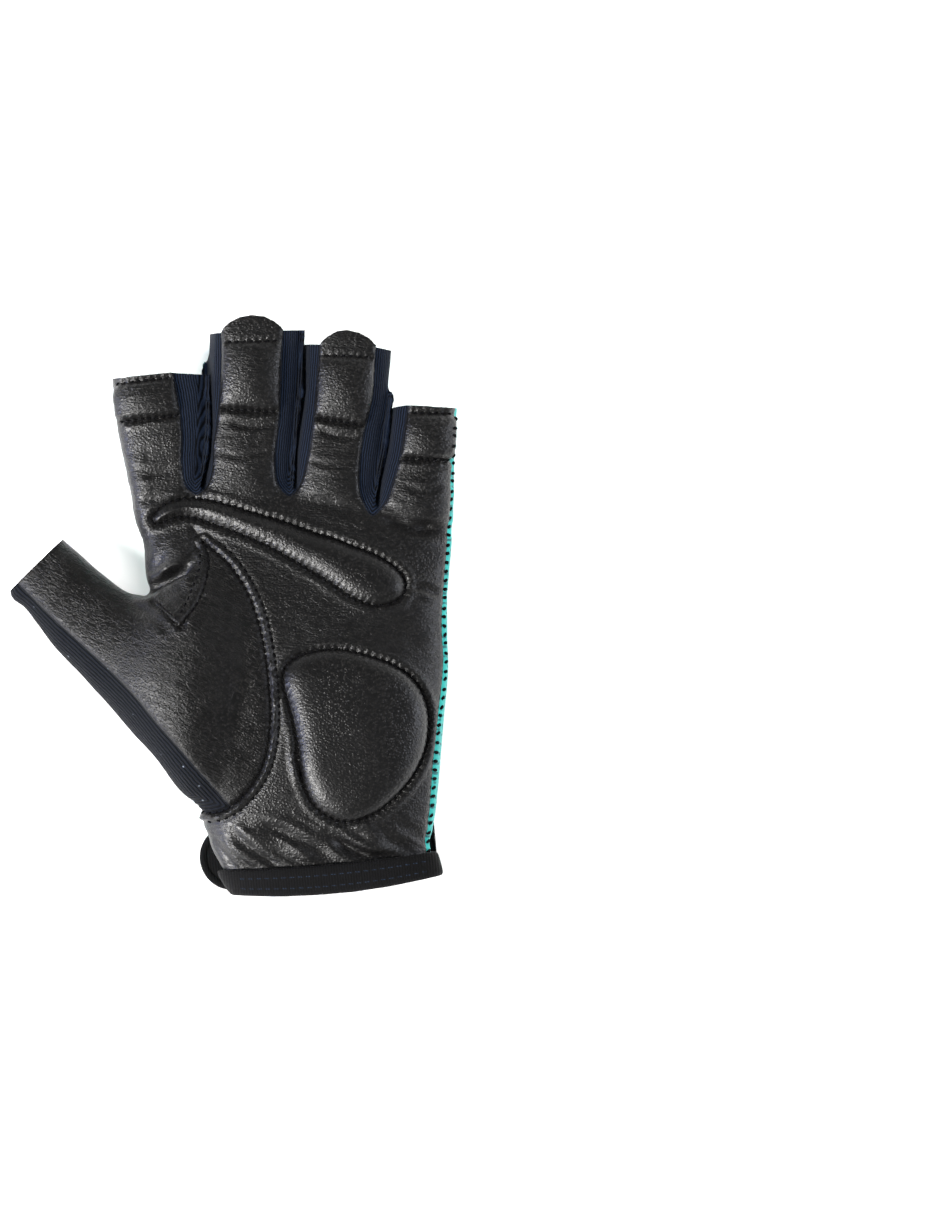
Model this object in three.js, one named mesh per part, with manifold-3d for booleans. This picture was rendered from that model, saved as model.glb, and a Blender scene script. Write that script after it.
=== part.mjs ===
// A half-finger weightlifting glove for the left hand, lying palm up on its back, empty.
// Millimetres. +X runs from the thumb side to the little finger, +Y towards the fingers,
// +Z out of the palm. The origin is under the middle of the finished glove, on the surface.
import * as THREE from 'three';
import { mergeVertices } from 'three/addons/utils/BufferGeometryUtils.js';
import Module from 'manifold-3d';

const wasm = await Module();
wasm.setup();

// Driving sizes
const palmWidth = 89; // across the knuckles, lying flat
const palmLength = 110.5; // from the wrist hem to the fork of the fingers
const palmHeight = 24; // thickest place of the hand, over the heel of the palm
const fingerHeight = 15; // thickness of a lying finger stall
const upperSquareness = 2.4; // of all sections: 2 is an ellipse, more is boxier
const lowerSquareness = 2.9; // the back lies on the surface
const restFlattening = 0.5; // how much of the back is pressed flat where it lies
const indexLength = 31.4; // finger stalls, from the fork line to their cut ends
const middleLength = 43.7;
const ringLength = 39.8;
const littleLength = 23.2;
const fingertipTongue = 4.5; // how far the round leather tongue stands past the cut end
const fingerGap = 0.6; // air between neighbouring stalls
const fingerRootDepth = 18; // how far a stall's narrow root reaches into the palm
const thumbReach = 64.8; // thumb, from its middle in the palm to its tip, across the hand
const thumbRise = 34.7; // and along the hand
const thumbTipWidth = 20.4;
const thumbRootWidth = 67.5;
const thumbHeight = 27; // thickest place of the thumb's mound
const thumbTipHeight = 15;
const wall = 1.5; // leather, knit and mesh alike
const seamGap = 0.3; // clearance between neighbouring pieces
const capRise = 1.5; // leather caps and hems over the finger fronts
const padRise = 2.6; // foam pads in the palm
const edgeRise = 0.9; // the thickness of caps and pads at their sewn edges
const knucklePadWidth = 13.8;
const gussetWidth = 7.2;
const gussetRise = 1.2;
const knitForkWidth = 7.8; // the knit between two fingers, seen from above at the fork
const knitTipWidth = 10.8; // and past the fingertips
const knitDip = 4.6; // how far the knit reaches below the fork
const thumbKnitWidth = 6; // knit strip along the thumb's outer side
const bindingWidth = 6.6; // wrist binding
const bindingBulge = 0.8; // it stands this much proud of the panels, outside and in
const strapWidth = 18.5;
const strapThickness = 2.2;
const strapEnd = 0.204; // where its round end reaches, as a share of the palm's width

// Sampling of the faceted walls
const handSides = 32;
const fingerSides = 20;
const thumbSides = 24;
const far = 400; // past everything, for cutting blocks
const overshoot = 8; // how far a hollow is drawn past its open end

const shortestSide = 1e-6;
const radians = THREE.MathUtils.degToRad;
const mix = THREE.MathUtils.lerp;

// A point of the palm from its shares: across from the thumb side, along from the wrist hem
const palmPoint = (across, along) => new THREE.Vector2(across * palmWidth, along * palmLength);

// Sections of the hand from the hem to the fork. left and right are shares of the palm's width,
// along is a share of its length, height a share of its height; lift is a share of the strap's
// room under the wrist, and yaw turns the section in plan.
const wristLift = strapThickness + seamGap + bindingBulge + restFlattening;
const handSections = [
  { along: 0.0, left: 0.326, right: 0.95, height: 0.6, lift: 1, yaw: 5.5 },
  { along: 0.06, left: 0.282, right: 0.931, height: 0.66, lift: 1, yaw: 5 },
  { along: 0.18, left: 0.216, right: 0.947, height: 0.8, lift: 0.86, yaw: 3 },
  { along: 0.38, left: 0.16, right: 0.969, height: 0.95, lift: 0.35, yaw: 1 },
  { along: 0.55, left: 0.107, right: 0.987, height: 0.95, lift: 0, yaw: 0 },
  { along: 0.72, left: 0.053, right: 0.981, height: 0.86, lift: 0, yaw: -2 },
  { along: 0.87, left: 0.028, right: 0.991, height: 0.72, lift: 0, yaw: -4 },
  { along: 1.0, left: 0.003, right: 1.0, height: 0.55, lift: 0, yaw: -5.6 },
];

// The lines that part the fingers: across is a share of the palm's width at the fork,
// lean is how far each line moves to +X for each millimetre towards the tips.
const fingerLines = [
  { across: 0.0, lean: -0.188 },
  { across: 0.205, lean: 0.047 },
  { across: 0.493, lean: 0.067 },
  { across: 0.758, lean: 0.128 },
  { across: 1.0, lean: 0.046 },
];

// The leather's second layer on each stall: a cap whose round tongue stands past the cut end,
// or a plain hem turned back from it. capLeft and capRight are shares of the stall's width,
// capShare is a share of its length.
const fingers = [
  { name: 'index', length: indexLength, layer: 'hem', capLeft: 0.17, capRight: 0.68, capShare: 0.33 },
  { name: 'middle', length: middleLength, layer: 'cap', capLeft: 0.19, capRight: 0.81, capShare: 0.5 },
  { name: 'ring', length: ringLength, layer: 'cap', capLeft: 0.21, capRight: 0.81, capShare: 0.54 },
  { name: 'little', length: littleLength, layer: 'hem', capLeft: 0.3, capRight: 0.9, capShare: 0.62 },
];
const tongueOf = (finger) => (finger.layer === 'cap' ? fingertipTongue : 0);

// Sections of a stall, from its root inside the palm to its cut end. past is 0 at the fork and 1
// at the cut end; girth is a share of the stall's width, bottom and top are shares of its height.
const stallSections = [
  { past: -1, girth: 0.6, bottom: 0.36, top: 0.74 },
  { past: -0.3, girth: 0.97, bottom: 0.06, top: 0.97 },
  { past: 0, girth: 1, bottom: 0, top: 1 },
  { past: 0.5, girth: 1, bottom: 0, top: 1 },
  { past: 1, girth: 1, bottom: 0, top: 0.95 },
];

// Sections of the thumb from its tip into the palm. reach and rise are shares of the thumb's
// own, spread runs from the tip's width to the root's, turn is the section's turn in plan.
const thumbSections = [
  { reach: 1.0, rise: 1.0, spread: 0.0, turn: 45.6, bottom: 0.06, top: 0.0 },
  { reach: 0.842, rise: 0.657, spread: 0.076, turn: 36.5, bottom: 0.05, top: 0.25 },
  { reach: 0.65, rise: 0.343, spread: 0.216, turn: 20.2, bottom: 0.04, top: 0.55 },
  { reach: 0.475, rise: 0.165, spread: 0.58, turn: 5.7, bottom: 0.04, top: 0.92 },
  { reach: 0.32, rise: 0.077, spread: 1.0, turn: 3.1, bottom: 0.1, top: 1.0 },
  { reach: 0.17, rise: 0.04, spread: 0.86, turn: 2.8, bottom: 0.22, top: 0.82 },
  { reach: 0.0, rise: 0.0, spread: 0.51, turn: 2.5, bottom: 0.36, top: 0.4 },
];
const thumbRoot = palmPoint(0.431, 0.491);

// Where the palm leather ends and the back begins on the glove's two sides: at shares of the
// palm's height along the palm, then at shares of the stalls' height past the fork.
const palmSeam = [
  { along: -0.2, left: 0.42, right: 0.6 },
  { along: 0.12, left: 0.42, right: 0.64 },
  { along: 0.3, left: 0.38, right: 0.7 },
  { along: 0.5, left: 0.34, right: 0.7 },
  { along: 0.72, left: 0.3, right: 0.56 },
];
const fingerSeam = { left: 0.35, right: 0.71 };
const knitBottom = 0.22 * fingerHeight; // the knit between the fingers meets the back here
const thumbSeamLevel = 0.55 * thumbTipHeight;

// Closed solids from rings of points, each ring running the same way round
function closedSolid(positions, triangles) {
  let volume = 0;
  const corner = (i) => new THREE.Vector3().fromArray(positions, 3 * i);
  for (let t = 0; t < triangles.length; t += 3) {
    const [a, b, c] = [0, 1, 2].map((k) => corner(triangles[t + k]));
    volume += a.dot(b.cross(c));
  }
  if (volume < 0) triangles.reverse();
  return new wasm.Manifold(new wasm.Mesh({
    numProp: 3,
    vertProperties: new Float32Array(positions),
    triVerts: new Uint32Array(triangles),
  }));
}

// The ends are strips from each ring's first half to its second, so they need not be convex
function loft(rings) {
  const sides = rings[0].length;
  const positions = rings.flat().flatMap((p) => [p.x, p.y, p.z]);
  const triangles = [];
  for (let row = 0; row < rings.length - 1; row++) {
    for (let i = 0; i < sides; i++) {
      const next = (i + 1) % sides;
      const [a, b] = [row * sides + i, row * sides + next];
      triangles.push(a, b, b + sides, a, b + sides, a + sides);
    }
  }
  const lastRing = (rings.length - 1) * sides;
  for (let i = 0; i < sides / 2 - 1; i++) {
    const opposite = sides - 1 - i;
    triangles.push(i, opposite, i + 1, i + 1, opposite, opposite - 1);
    triangles.push(lastRing + i, lastRing + i + 1, lastRing + opposite);
    triangles.push(lastRing + i + 1, lastRing + opposite - 1, lastRing + opposite);
  }
  return closedSolid(positions, triangles);
}

// A rounded section standing on end: its width runs along direction in plan
function sectionRing({ middle, direction, halfWidth, bottom, top, sides }) {
  const ring = [];
  for (let i = 0; i < sides; i++) {
    const angle = (2 * Math.PI * (i + 0.5)) / sides;
    const power = 2 / (Math.sin(angle) > 0 ? upperSquareness : lowerSquareness);
    const rounded = (value) => Math.sign(value) * Math.abs(value) ** power;
    const aside = halfWidth * rounded(Math.cos(angle));
    const height = (bottom + top) / 2 + ((top - bottom) / 2) * rounded(Math.sin(angle));
    ring.push(new THREE.Vector3(
      middle.x + direction.x * aside,
      middle.y + direction.y * aside,
      height,
    ));
  }
  return ring;
}

const planDirection = (degrees) => new THREE.Vector2(Math.cos(radians(degrees)), Math.sin(radians(degrees)));

// The hand, grown or shrunk by offset; a cavity opens past the hem and stops short of the fork
function handBody(offset, isCavity = false) {
  const rows = handSections.map((section) => {
    const direction = planDirection(section.yaw);
    const span = (section.right - section.left) * palmWidth;
    const base = section.lift * wristLift;
    return {
      middle: palmPoint((section.left + section.right) / 2, section.along),
      direction,
      halfWidth: span / 2 + offset,
      bottom: base - restFlattening - offset,
      top: base + section.height * palmHeight + offset,
      sides: handSides,
    };
  });
  const [first, last] = [rows[0], rows[rows.length - 1]];
  if (isCavity) {
    const mouth = { ...first, middle: first.middle.clone().sub(new THREE.Vector2(0, bindingWidth)) };
    rows.unshift(mouth);
  }
  last.middle = last.middle.clone().add(new THREE.Vector2(0, offset));
  return loft(rows.map(sectionRing));
}

const forkY = palmLength;
const lineAt = (line, y) => line.across * palmWidth + line.lean * (y - forkY);
const stallSides = (index, y) => [lineAt(fingerLines[index], y), lineAt(fingerLines[index + 1], y)];
const cutEnd = (finger) => forkY + finger.length;

// One finger stall; a cavity reaches deeper into the palm and out past the tip
function fingerBody(index, offset, isCavity = false) {
  const finger = fingers[index];
  const end = cutEnd(finger) + tongueOf(finger) + (isCavity ? overshoot : 0);
  const root = forkY - fingerRootDepth - (isCavity ? overshoot : 0);
  return loft(stallSections.map((section) => {
    const y = mix(forkY, section.past < 0 ? root : end, Math.abs(section.past));
    const [left, right] = stallSides(index, y);
    return sectionRing({
      middle: new THREE.Vector2((left + right) / 2, y),
      direction: planDirection(0),
      halfWidth: (section.girth * (right - left - fingerGap)) / 2 + offset,
      bottom: section.bottom * fingerHeight - restFlattening - offset,
      top: section.top * fingerHeight + offset,
      sides: fingerSides,
    });
  }));
}

const thumbRow = (section) => ({
  middle: new THREE.Vector2(
    thumbRoot.x - section.reach * thumbReach,
    thumbRoot.y + section.rise * thumbRise,
  ),
  direction: planDirection(-90 - section.turn), // from the upper edge to the outer edge
  width: mix(thumbTipWidth, thumbRootWidth, section.spread),
});

function thumbBody(offset, isCavity = false) {
  const rows = thumbSections.map((section) => {
    const { middle, direction, width } = thumbRow(section);
    return {
      middle,
      direction,
      halfWidth: width / 2 + offset,
      bottom: section.bottom * palmHeight - offset,
      top: mix(thumbTipHeight, thumbHeight, section.top) + offset,
      sides: thumbSides,
    };
  });
  if (isCavity) {
    const outward = rows[0].middle.clone().sub(rows[1].middle).setLength(overshoot);
    rows.unshift({ ...rows[0], middle: rows[0].middle.clone().add(outward) });
  }
  return loft(rows.map(sectionRing));
}

// Cutting shapes
function extruded(points, low, high) {
  const geometry = new THREE.ExtrudeGeometry(new THREE.Shape(points), {
    depth: high - low,
    bevelEnabled: false,
    curveSegments: 8,
  });
  geometry.translate(0, 0, low);
  return solidOf(geometry);
}

function solidOf(geometry) {
  const bare = geometry.clone();
  bare.deleteAttribute('normal');
  bare.deleteAttribute('uv');
  const merged = mergeVertices(bare, shortestSide);
  return closedSolid(Array.from(merged.attributes.position.array), Array.from(merged.index.array));
}

function block(low, high, yaw = 0, pivot = new THREE.Vector2()) {
  const size = high.clone().sub(low);
  const geometry = new THREE.BoxGeometry(size.x, size.y, size.z);
  geometry.translate(...low.clone().add(high).multiplyScalar(0.5).toArray());
  geometry.rotateZ(radians(yaw));
  geometry.translate(pivot.x, pivot.y, 0);
  return solidOf(geometry);
}

const above = (level) => block(new THREE.Vector3(-far, -far, level), new THREE.Vector3(far, far, far));
const joined = (solids) => solids.reduce((sum, solid) => sum.add(solid));

// The whole outer skin at an offset, resting flat on the surface
function wholeSkin(offset) {
  const bodies = [handBody(offset), thumbBody(offset), ...fingers.map((_, i) => fingerBody(i, offset))];
  return joined(bodies).intersect(above(0));
}

function wholeCavity(depth) {
  const bodies = [
    handBody(-depth, true),
    thumbBody(-depth, true),
    ...fingers.map((_, i) => fingerBody(i, -depth, true)),
  ];
  return joined(bodies).intersect(above(depth));
}

const skin = wholeSkin(0);
const cavity = wholeCavity(wall);
const shell = skin.subtract(cavity);

// The leather's share of the shell lies above this slanting sheet, the back's below it
function seamSheet(shift) {
  const fingerRow = (y) => ({
    y,
    left: fingerSeam.left * fingerHeight,
    right: fingerSeam.right * fingerHeight,
  });
  const rows = palmSeam.map(({ along, left, right }) => (
    { y: along * palmLength, left: left * palmHeight, right: right * palmHeight }
  ));
  rows.push(fingerRow(forkY), fingerRow(forkY + middleLength + far));
  return loft(rows.map(({ y, left, right }) => [
    new THREE.Vector3(-far, y, left + shift),
    new THREE.Vector3(0, y, left + shift),
    new THREE.Vector3(palmWidth, y, right + shift),
    new THREE.Vector3(far, y, right + shift),
    new THREE.Vector3(far, y, far),
    new THREE.Vector3(-far, y, far),
  ]));
}

// The U of knit between two fingers, seen from above
function knitOutline(lineIndex, grow) {
  const line = fingerLines[lineIndex];
  const forkSlope = Math.tan(radians(handSections.at(-1).yaw));
  const fork = forkY + forkSlope * (line.across - 0.5) * palmWidth;
  const forkHalf = knitForkWidth / 2 + grow;
  const tipHalf = knitTipWidth / 2 + grow;
  const arcSteps = 8;
  const points = [];
  for (let i = 0; i <= arcSteps; i++) {
    const angle = Math.PI * (1 + i / arcSteps);
    const y = fork + Math.sin(angle) * (knitDip + grow);
    points.push(new THREE.Vector2(lineAt(line, y) + Math.cos(angle) * forkHalf, y));
  }
  const tipY = cutEnd(fingers[1]) + fingertipTongue + overshoot;
  points.push(new THREE.Vector2(lineAt(line, tipY) + tipHalf, tipY));
  points.push(new THREE.Vector2(lineAt(line, tipY) - tipHalf, tipY));
  return points;
}

const knitZones = (grow) => [1, 2, 3].map((lineIndex) => extruded(knitOutline(lineIndex, grow), -far, far));

// Thumb outlines in plan, from shares of the palm
const palmPoints = (shares) => shares.map(([across, along]) => palmPoint(across, along));
const thumbSeamPoints = palmPoints([
  [0.219, 0.863], [0.3, 0.811], [0.355, 0.747], [0.388, 0.681], [0.411, 0.61], [0.426, 0.52],
  [0.432, 0.423], [0.426, 0.359], [0.404, 0.294], [0.371, 0.249], [0.332, 0.213],
]);
const thumbHeel = thumbSeamPoints.at(-1);
const crotchFold = palmPoints([[0.03, 0.733], [0.113, 0.762], [0.194, 0.8]]);
const handLeftLine = palmPoints([[0.05, 0.733], [0.16, 0.38], [0.216, 0.181]]);
const besideWrist = palmPoint(-0.5, 0.181);
const besideThumb = palmPoint(-0.9, 0.98);
const besideIndex = palmPoint(-0.3, 0.98);

// The knit strip's inner edge runs beside the outer edge of the thumb, wider at its root
const outerEdge = (section, inset) => {
  const { middle, direction, width } = thumbRow(section);
  return middle.clone().addScaledVector(direction, width / 2 - inset);
};
const knitEdgeTip = outerEdge(thumbSections[0], thumbKnitWidth / 2);
const knitEdgeRoot = outerEdge(thumbSections[4], 1.5 * thumbKnitWidth);
const alongKnit = knitEdgeTip.clone().sub(knitEdgeRoot).setLength(thumbTipWidth);
const beyondTip = knitEdgeTip.clone().add(alongKnit);
const thumbLeatherOutline = [
  ...thumbSeamPoints,
  knitEdgeRoot.clone().lerp(thumbHeel, 0.5),
  knitEdgeTip,
  beyondTip,
  besideThumb,
  besideIndex,
  ...crotchFold,
];
const thumbKnitOutline = [
  beyondTip,
  knitEdgeTip,
  knitEdgeRoot.clone().lerp(thumbHeel, 0.5),
  thumbHeel,
  handLeftLine.at(-1),
  besideWrist,
  besideThumb,
];
const thumbUnderOutline = [...handLeftLine, besideWrist, besideThumb, besideIndex];

// Offsets a closed outline sideways by grow, corner by corner
function grown(points, grow) {
  const side = THREE.ShapeUtils.isClockWise(points) ? -1 : 1;
  return points.map((point, i) => {
    const before = point.clone().sub(points.at(i - 1)).normalize();
    const after = points[(i + 1) % points.length].clone().sub(point).normalize();
    const along = before.add(after).normalize();
    return point.clone().add(new THREE.Vector2(along.y, -along.x).multiplyScalar(side * grow));
  });
}
const zoneOf = (outline) => (grow) => extruded(grown(outline, grow), -far, far);
const thumbLeatherZone = zoneOf(thumbLeatherOutline);
const thumbKnitZone = zoneOf(thumbKnitOutline);
const thumbUnderZone = zoneOf(thumbUnderOutline);

// The wrist binding's part of the hand, between the hem and the binding's own width
const hem = handSections[0];
const hemMiddle = palmPoint((hem.left + hem.right) / 2, hem.along);
const alongHem = (low, high) => block(
  new THREE.Vector3(-far, low, -far),
  new THREE.Vector3(far, high, far),
  hem.yaw,
  hemMiddle,
);

// A cap's round tongue, seen from above
function tongueOutline(index) {
  const finger = fingers[index];
  const end = cutEnd(finger);
  const [stallLeft, stallRight] = stallSides(index, end);
  const left = mix(stallLeft, stallRight, finger.capLeft);
  const right = mix(stallLeft, stallRight, finger.capRight);
  const points = [new THREE.Vector2(left, end - wall), new THREE.Vector2(right, end - wall)];
  const arcSteps = 10;
  for (let i = 0; i <= arcSteps; i++) {
    const angle = (Math.PI * i) / arcSteps;
    points.push(new THREE.Vector2(
      mix(left, right, 0.5 + 0.5 * Math.cos(angle)),
      end + Math.sin(angle) * (fingertipTongue - seamGap),
    ));
  }
  return points;
}

// What is trimmed off past the cut end of a stall; only the leather keeps a tongue there
function pastCutEnd(index, keepTongue) {
  const end = cutEnd(fingers[index]);
  const [left, right] = stallSides(index, end);
  const past = block(
    new THREE.Vector3(left - fingerGap, end, -far),
    new THREE.Vector3(right + 2 * fingerGap, end + fingertipTongue + overshoot, far),
  );
  return keepTongue ? past.subtract(extruded(tongueOutline(index), -far, far)) : past;
}

// A cut can leave crumbs behind; the piece is the largest body
function largest(solid) {
  return solid.decompose().sort((a, b) => b.volume() - a.volume())[0];
}

// Panels of the shell
const halfGap = seamGap / 2;
const panels = shell.intersect(alongHem(bindingWidth + seamGap, far));
const capped = fingers.map((finger, i) => i).filter((i) => fingers[i].layer === 'cap');

function palmPanel() {
  let panel = panels.intersect(seamSheet(halfGap));
  for (const zone of knitZones(halfGap)) panel = panel.subtract(zone);
  for (const i of capped) panel = panel.subtract(pastCutEnd(i, true));
  return largest(panel.subtract(thumbLeatherZone(halfGap)).subtract(thumbKnitZone(halfGap)));
}

function thumbPanel() {
  return largest(panels.intersect(thumbLeatherZone(-halfGap)).intersect(above(thumbSeamLevel + halfGap)));
}

// The strip along the thumb's outer side, and the thumb's underside as far as the back
function thumbKnit() {
  const under = thumbUnderZone(-halfGap);
  const leatherAbove = thumbLeatherZone(halfGap).intersect(above(thumbSeamLevel - halfGap));
  const strip = thumbKnitZone(-halfGap).intersect(under.add(above(thumbSeamLevel + halfGap)));
  const belowLeather = under.subtract(thumbKnitZone(-halfGap)).subtract(leatherAbove);
  return largest(panels.intersect(strip.add(belowLeather)));
}

function fourchette(zone) {
  let band = panels.intersect(zone).intersect(above(knitBottom + halfGap));
  for (const i of capped) band = band.subtract(pastCutEnd(i, false));
  return largest(band);
}

function backPanel() {
  let panel = panels.subtract(seamSheet(-halfGap));
  for (const zone of knitZones(halfGap)) panel = panel.subtract(zone.intersect(above(knitBottom - halfGap)));
  for (const i of capped) panel = panel.subtract(pastCutEnd(i, false));
  const thumbSide = thumbKnitZone(halfGap).add(thumbLeatherZone(halfGap));
  const thumbAbove = thumbSide.intersect(above(thumbSeamLevel - halfGap));
  return largest(panel.subtract(thumbUnderZone(halfGap)).subtract(thumbAbove));
}

function wristBinding() {
  const outside = handBody(bindingBulge);
  const inside = handBody(-wall - bindingBulge, true);
  return largest(outside.subtract(inside).intersect(alongHem(0, bindingWidth)));
}

// The closing strap crosses the back of the wrist, and its round end stands out past the thumb side
function wristStrap() {
  const endRadius = strapWidth / 2;
  const left = (strapEnd - hem.left) * palmWidth + endRadius;
  const right = (hem.right - hem.left) * palmWidth - endRadius;
  const shape = new THREE.Shape();
  shape.moveTo(left, -endRadius);
  shape.lineTo(right, -endRadius);
  shape.absarc(right, 0, endRadius, -Math.PI / 2, Math.PI / 2, false);
  shape.lineTo(left, endRadius);
  shape.absarc(left, 0, endRadius, Math.PI / 2, 1.5 * Math.PI, false);
  const geometry = new THREE.ExtrudeGeometry(shape, {
    depth: strapThickness,
    bevelEnabled: false,
    curveSegments: 10,
  });
  geometry.rotateZ(radians(hem.yaw));
  const start = palmPoint(hem.left, hem.along);
  geometry.translate(start.x, start.y + endRadius - wall, 0);
  return solidOf(geometry);
}

// Raised pieces sewn on top: their undersides follow the skin, their tops are crowned
const skinMesh = new THREE.Mesh(geometryOf(skin), new THREE.MeshBasicMaterial({ side: THREE.DoubleSide }));
const downRay = new THREE.Raycaster();
function skinTop(point) {
  downRay.set(new THREE.Vector3(point.x, point.y, far), new THREE.Vector3(0, 0, -1));
  const hit = downRay.intersectObject(skinMesh)[0];
  return hit ? hit.point.z : 0;
}

const clearSkin = wholeSkin(seamGap);
const raisedColumns = 8;

// rows: { middle, across, halfWidth }, from one end of the piece to the other
function raised(rows, rise, rowRound) {
  const rings = rows.map((row, r) => {
    const ring = [];
    for (let c = 0; c <= raisedColumns; c++) {
      const share = -1 + (2 * c) / raisedColumns;
      const point = row.middle.clone().addScaledVector(row.across, share * row.halfWidth);
      const crown = Math.sqrt(1 - share ** 2) * rowRound(r / (rows.length - 1));
      const z = skinTop(point) + seamGap + mix(edgeRise, rise, crown);
      ring.push(new THREE.Vector3(point.x, point.y, z));
    }
    const floor = Math.min(...ring.map((p) => p.z)) - rise - wall;
    return [...ring, ...ring.slice().reverse().map((p) => new THREE.Vector3(p.x, p.y, floor))];
  });
  return largest(loft(rings).subtract(clearSkin));
}

const roundEnds = (share) => Math.sqrt(1 - Math.abs(2 * share - 1) ** 4);

// A pad along a spine: each row is a point in palm shares, its girth a share of the full width
function spinePad(spine, width, rise) {
  const curve = new THREE.CatmullRomCurve3(
    spine.map(({ across, along, girth }) => {
      const point = palmPoint(across, along);
      return new THREE.Vector3(point.x, point.y, (girth * width) / 2);
    }),
    false,
    'centripetal',
  );
  const steps = 18;
  const rows = [];
  for (let i = 0; i <= steps; i++) {
    const share = (1 - Math.cos((Math.PI * i) / steps)) / 2; // closer rows at the round ends
    const point = curve.getPoint(share);
    const tangent = curve.getTangent(share);
    const across = new THREE.Vector2(-tangent.y, tangent.x).normalize();
    rows.push({ middle: new THREE.Vector2(point.x, point.y), across, halfWidth: point.z });
  }
  return raised(rows, rise, roundEnds);
}

const knucklePadSpine = [
  { across: 0.062, along: 0.917, girth: 0.16 },
  { across: 0.1, along: 0.938, girth: 0.34 },
  { across: 0.18, along: 0.952, girth: 0.4 },
  { across: 0.3, along: 0.925, girth: 0.5 },
  { across: 0.48, along: 0.868, girth: 0.7 },
  { across: 0.64, along: 0.808, girth: 0.86 },
  { across: 0.755, along: 0.763, girth: 1.0 },
  { across: 0.82, along: 0.738, girth: 0.82 },
  { across: 0.852, along: 0.726, girth: 0.3 },
];

const gussetSpine = [
  { across: 0.222, along: 0.855, girth: 0.14 },
  { across: 0.216, along: 0.81, girth: 0.6 },
  { across: 0.18, along: 0.745, girth: 1.0 },
  { across: 0.145, along: 0.69, girth: 0.55 },
  { across: 0.14, along: 0.668, girth: 0.12 },
];

// The heel pad's left and right sides in palm shares, from its finger end to its wrist end
const heelPadRows = [
  { along: 0.596, left: 0.614, right: 0.693 },
  { along: 0.587, left: 0.558, right: 0.715 },
  { along: 0.567, left: 0.495, right: 0.79 },
  { along: 0.529, left: 0.473, right: 0.862 },
  { along: 0.466, left: 0.483, right: 0.912 },
  { along: 0.402, left: 0.503, right: 0.925 },
  { along: 0.322, left: 0.524, right: 0.906 },
  { along: 0.266, left: 0.535, right: 0.87 },
  { along: 0.223, left: 0.553, right: 0.821 },
  { along: 0.185, left: 0.586, right: 0.762 },
  { along: 0.162, left: 0.646, right: 0.702 },
];

function heelPad() {
  const rows = heelPadRows.map(({ along, left, right }) => ({
    middle: palmPoint((left + right) / 2, along),
    across: new THREE.Vector2(1, 0),
    halfWidth: ((right - left) * palmWidth) / 2,
  }));
  return raised(rows, padRise, roundEnds);
}

// The second layer of leather on a stall. A cap narrows over its tongue, a hem ends square.
function fingerLayer(index) {
  const finger = fingers[index];
  const end = cutEnd(finger);
  const tongue = tongueOf(finger);
  const last = end - seamGap + Math.max(0, tongue - seamGap);
  const first = end - finger.capShare * finger.length;
  const steps = 12;
  const rows = [];
  for (let i = 0; i <= steps; i++) {
    const y = mix(first, last, i / steps);
    const [left, right] = stallSides(index, y);
    const past = Math.max(0, y - end) / fingertipTongue;
    const width = (finger.capRight - finger.capLeft) * (right - left) - 2 * seamGap;
    rows.push({
      middle: new THREE.Vector2(mix(left, right, (finger.capLeft + finger.capRight) / 2), y),
      across: new THREE.Vector2(1, 0),
      halfWidth: (width / 2) * Math.sqrt(1 - past ** 2),
    });
  }
  return raised(rows, capRise, () => 1);
}

// Geometry and meshes
function geometryOf(solid) {
  const { vertProperties, triVerts, numProp } = solid.getMesh();
  const geometry = new THREE.BufferGeometry();
  const positions = new Float32Array((vertProperties.length / numProp) * 3);
  for (let i = 0; i < positions.length / 3; i++) {
    for (let k = 0; k < 3; k++) positions[3 * i + k] = vertProperties[numProp * i + k];
  }
  geometry.setAttribute('position', new THREE.BufferAttribute(positions, 3));
  geometry.setIndex(new THREE.BufferAttribute(triVerts, 1));
  geometry.computeVertexNormals();
  return geometry;
}

const goatskin = { color: 0x262524, roughness: 0.5, metalness: 0 };
const ribKnit = { color: 0x10141c, roughness: 0.9, metalness: 0 };
const backMesh = { color: 0x35cfca, roughness: 0.8, metalness: 0 };
const bindingTape = { color: 0x0b0b0e, roughness: 0.9, metalness: 0 };

const glove = new THREE.Group();
const inPlace = new THREE.Group();
glove.add(inPlace);

function addPiece(name, solid, finish) {
  const geometry = geometryOf(solid);
  geometry.computeBoundingBox();
  const middle = geometry.boundingBox.getCenter(new THREE.Vector3());
  geometry.translate(-middle.x, -middle.y, -middle.z);
  const mesh = new THREE.Mesh(geometry, new THREE.MeshStandardMaterial(finish));
  mesh.name = name;
  mesh.position.copy(middle);
  inPlace.add(mesh);
}

addPiece('palm_panel', palmPanel(), goatskin);
addPiece('thumb_panel', thumbPanel(), goatskin);
addPiece('thumb_knit', thumbKnit(), ribKnit);
addPiece('back_panel', backPanel(), backMesh);
knitZones(-halfGap).forEach((zone, i) => {
  addPiece(`fourchette_${fingers[i].name}_${fingers[i + 1].name}`, fourchette(zone), ribKnit);
});
addPiece('wrist_binding', wristBinding(), bindingTape);
addPiece('wrist_strap', wristStrap(), bindingTape);
addPiece('knuckle_pad', spinePad(knucklePadSpine, knucklePadWidth, padRise), goatskin);
addPiece('heel_pad', heelPad(), goatskin);
addPiece('thumb_gusset', spinePad(gussetSpine, gussetWidth, gussetRise), goatskin);
fingers.forEach((finger, i) => addPiece(`${finger.name}_${finger.layer}`, fingerLayer(i), goatskin));

// The origin goes under the middle of the glove
inPlace.updateMatrixWorld(true);
const bounds = new THREE.Box3().setFromObject(inPlace, true);
const centre = bounds.getCenter(new THREE.Vector3());
inPlace.position.set(-centre.x, -centre.y, -bounds.min.z);

export default glove;
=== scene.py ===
import math

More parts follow.
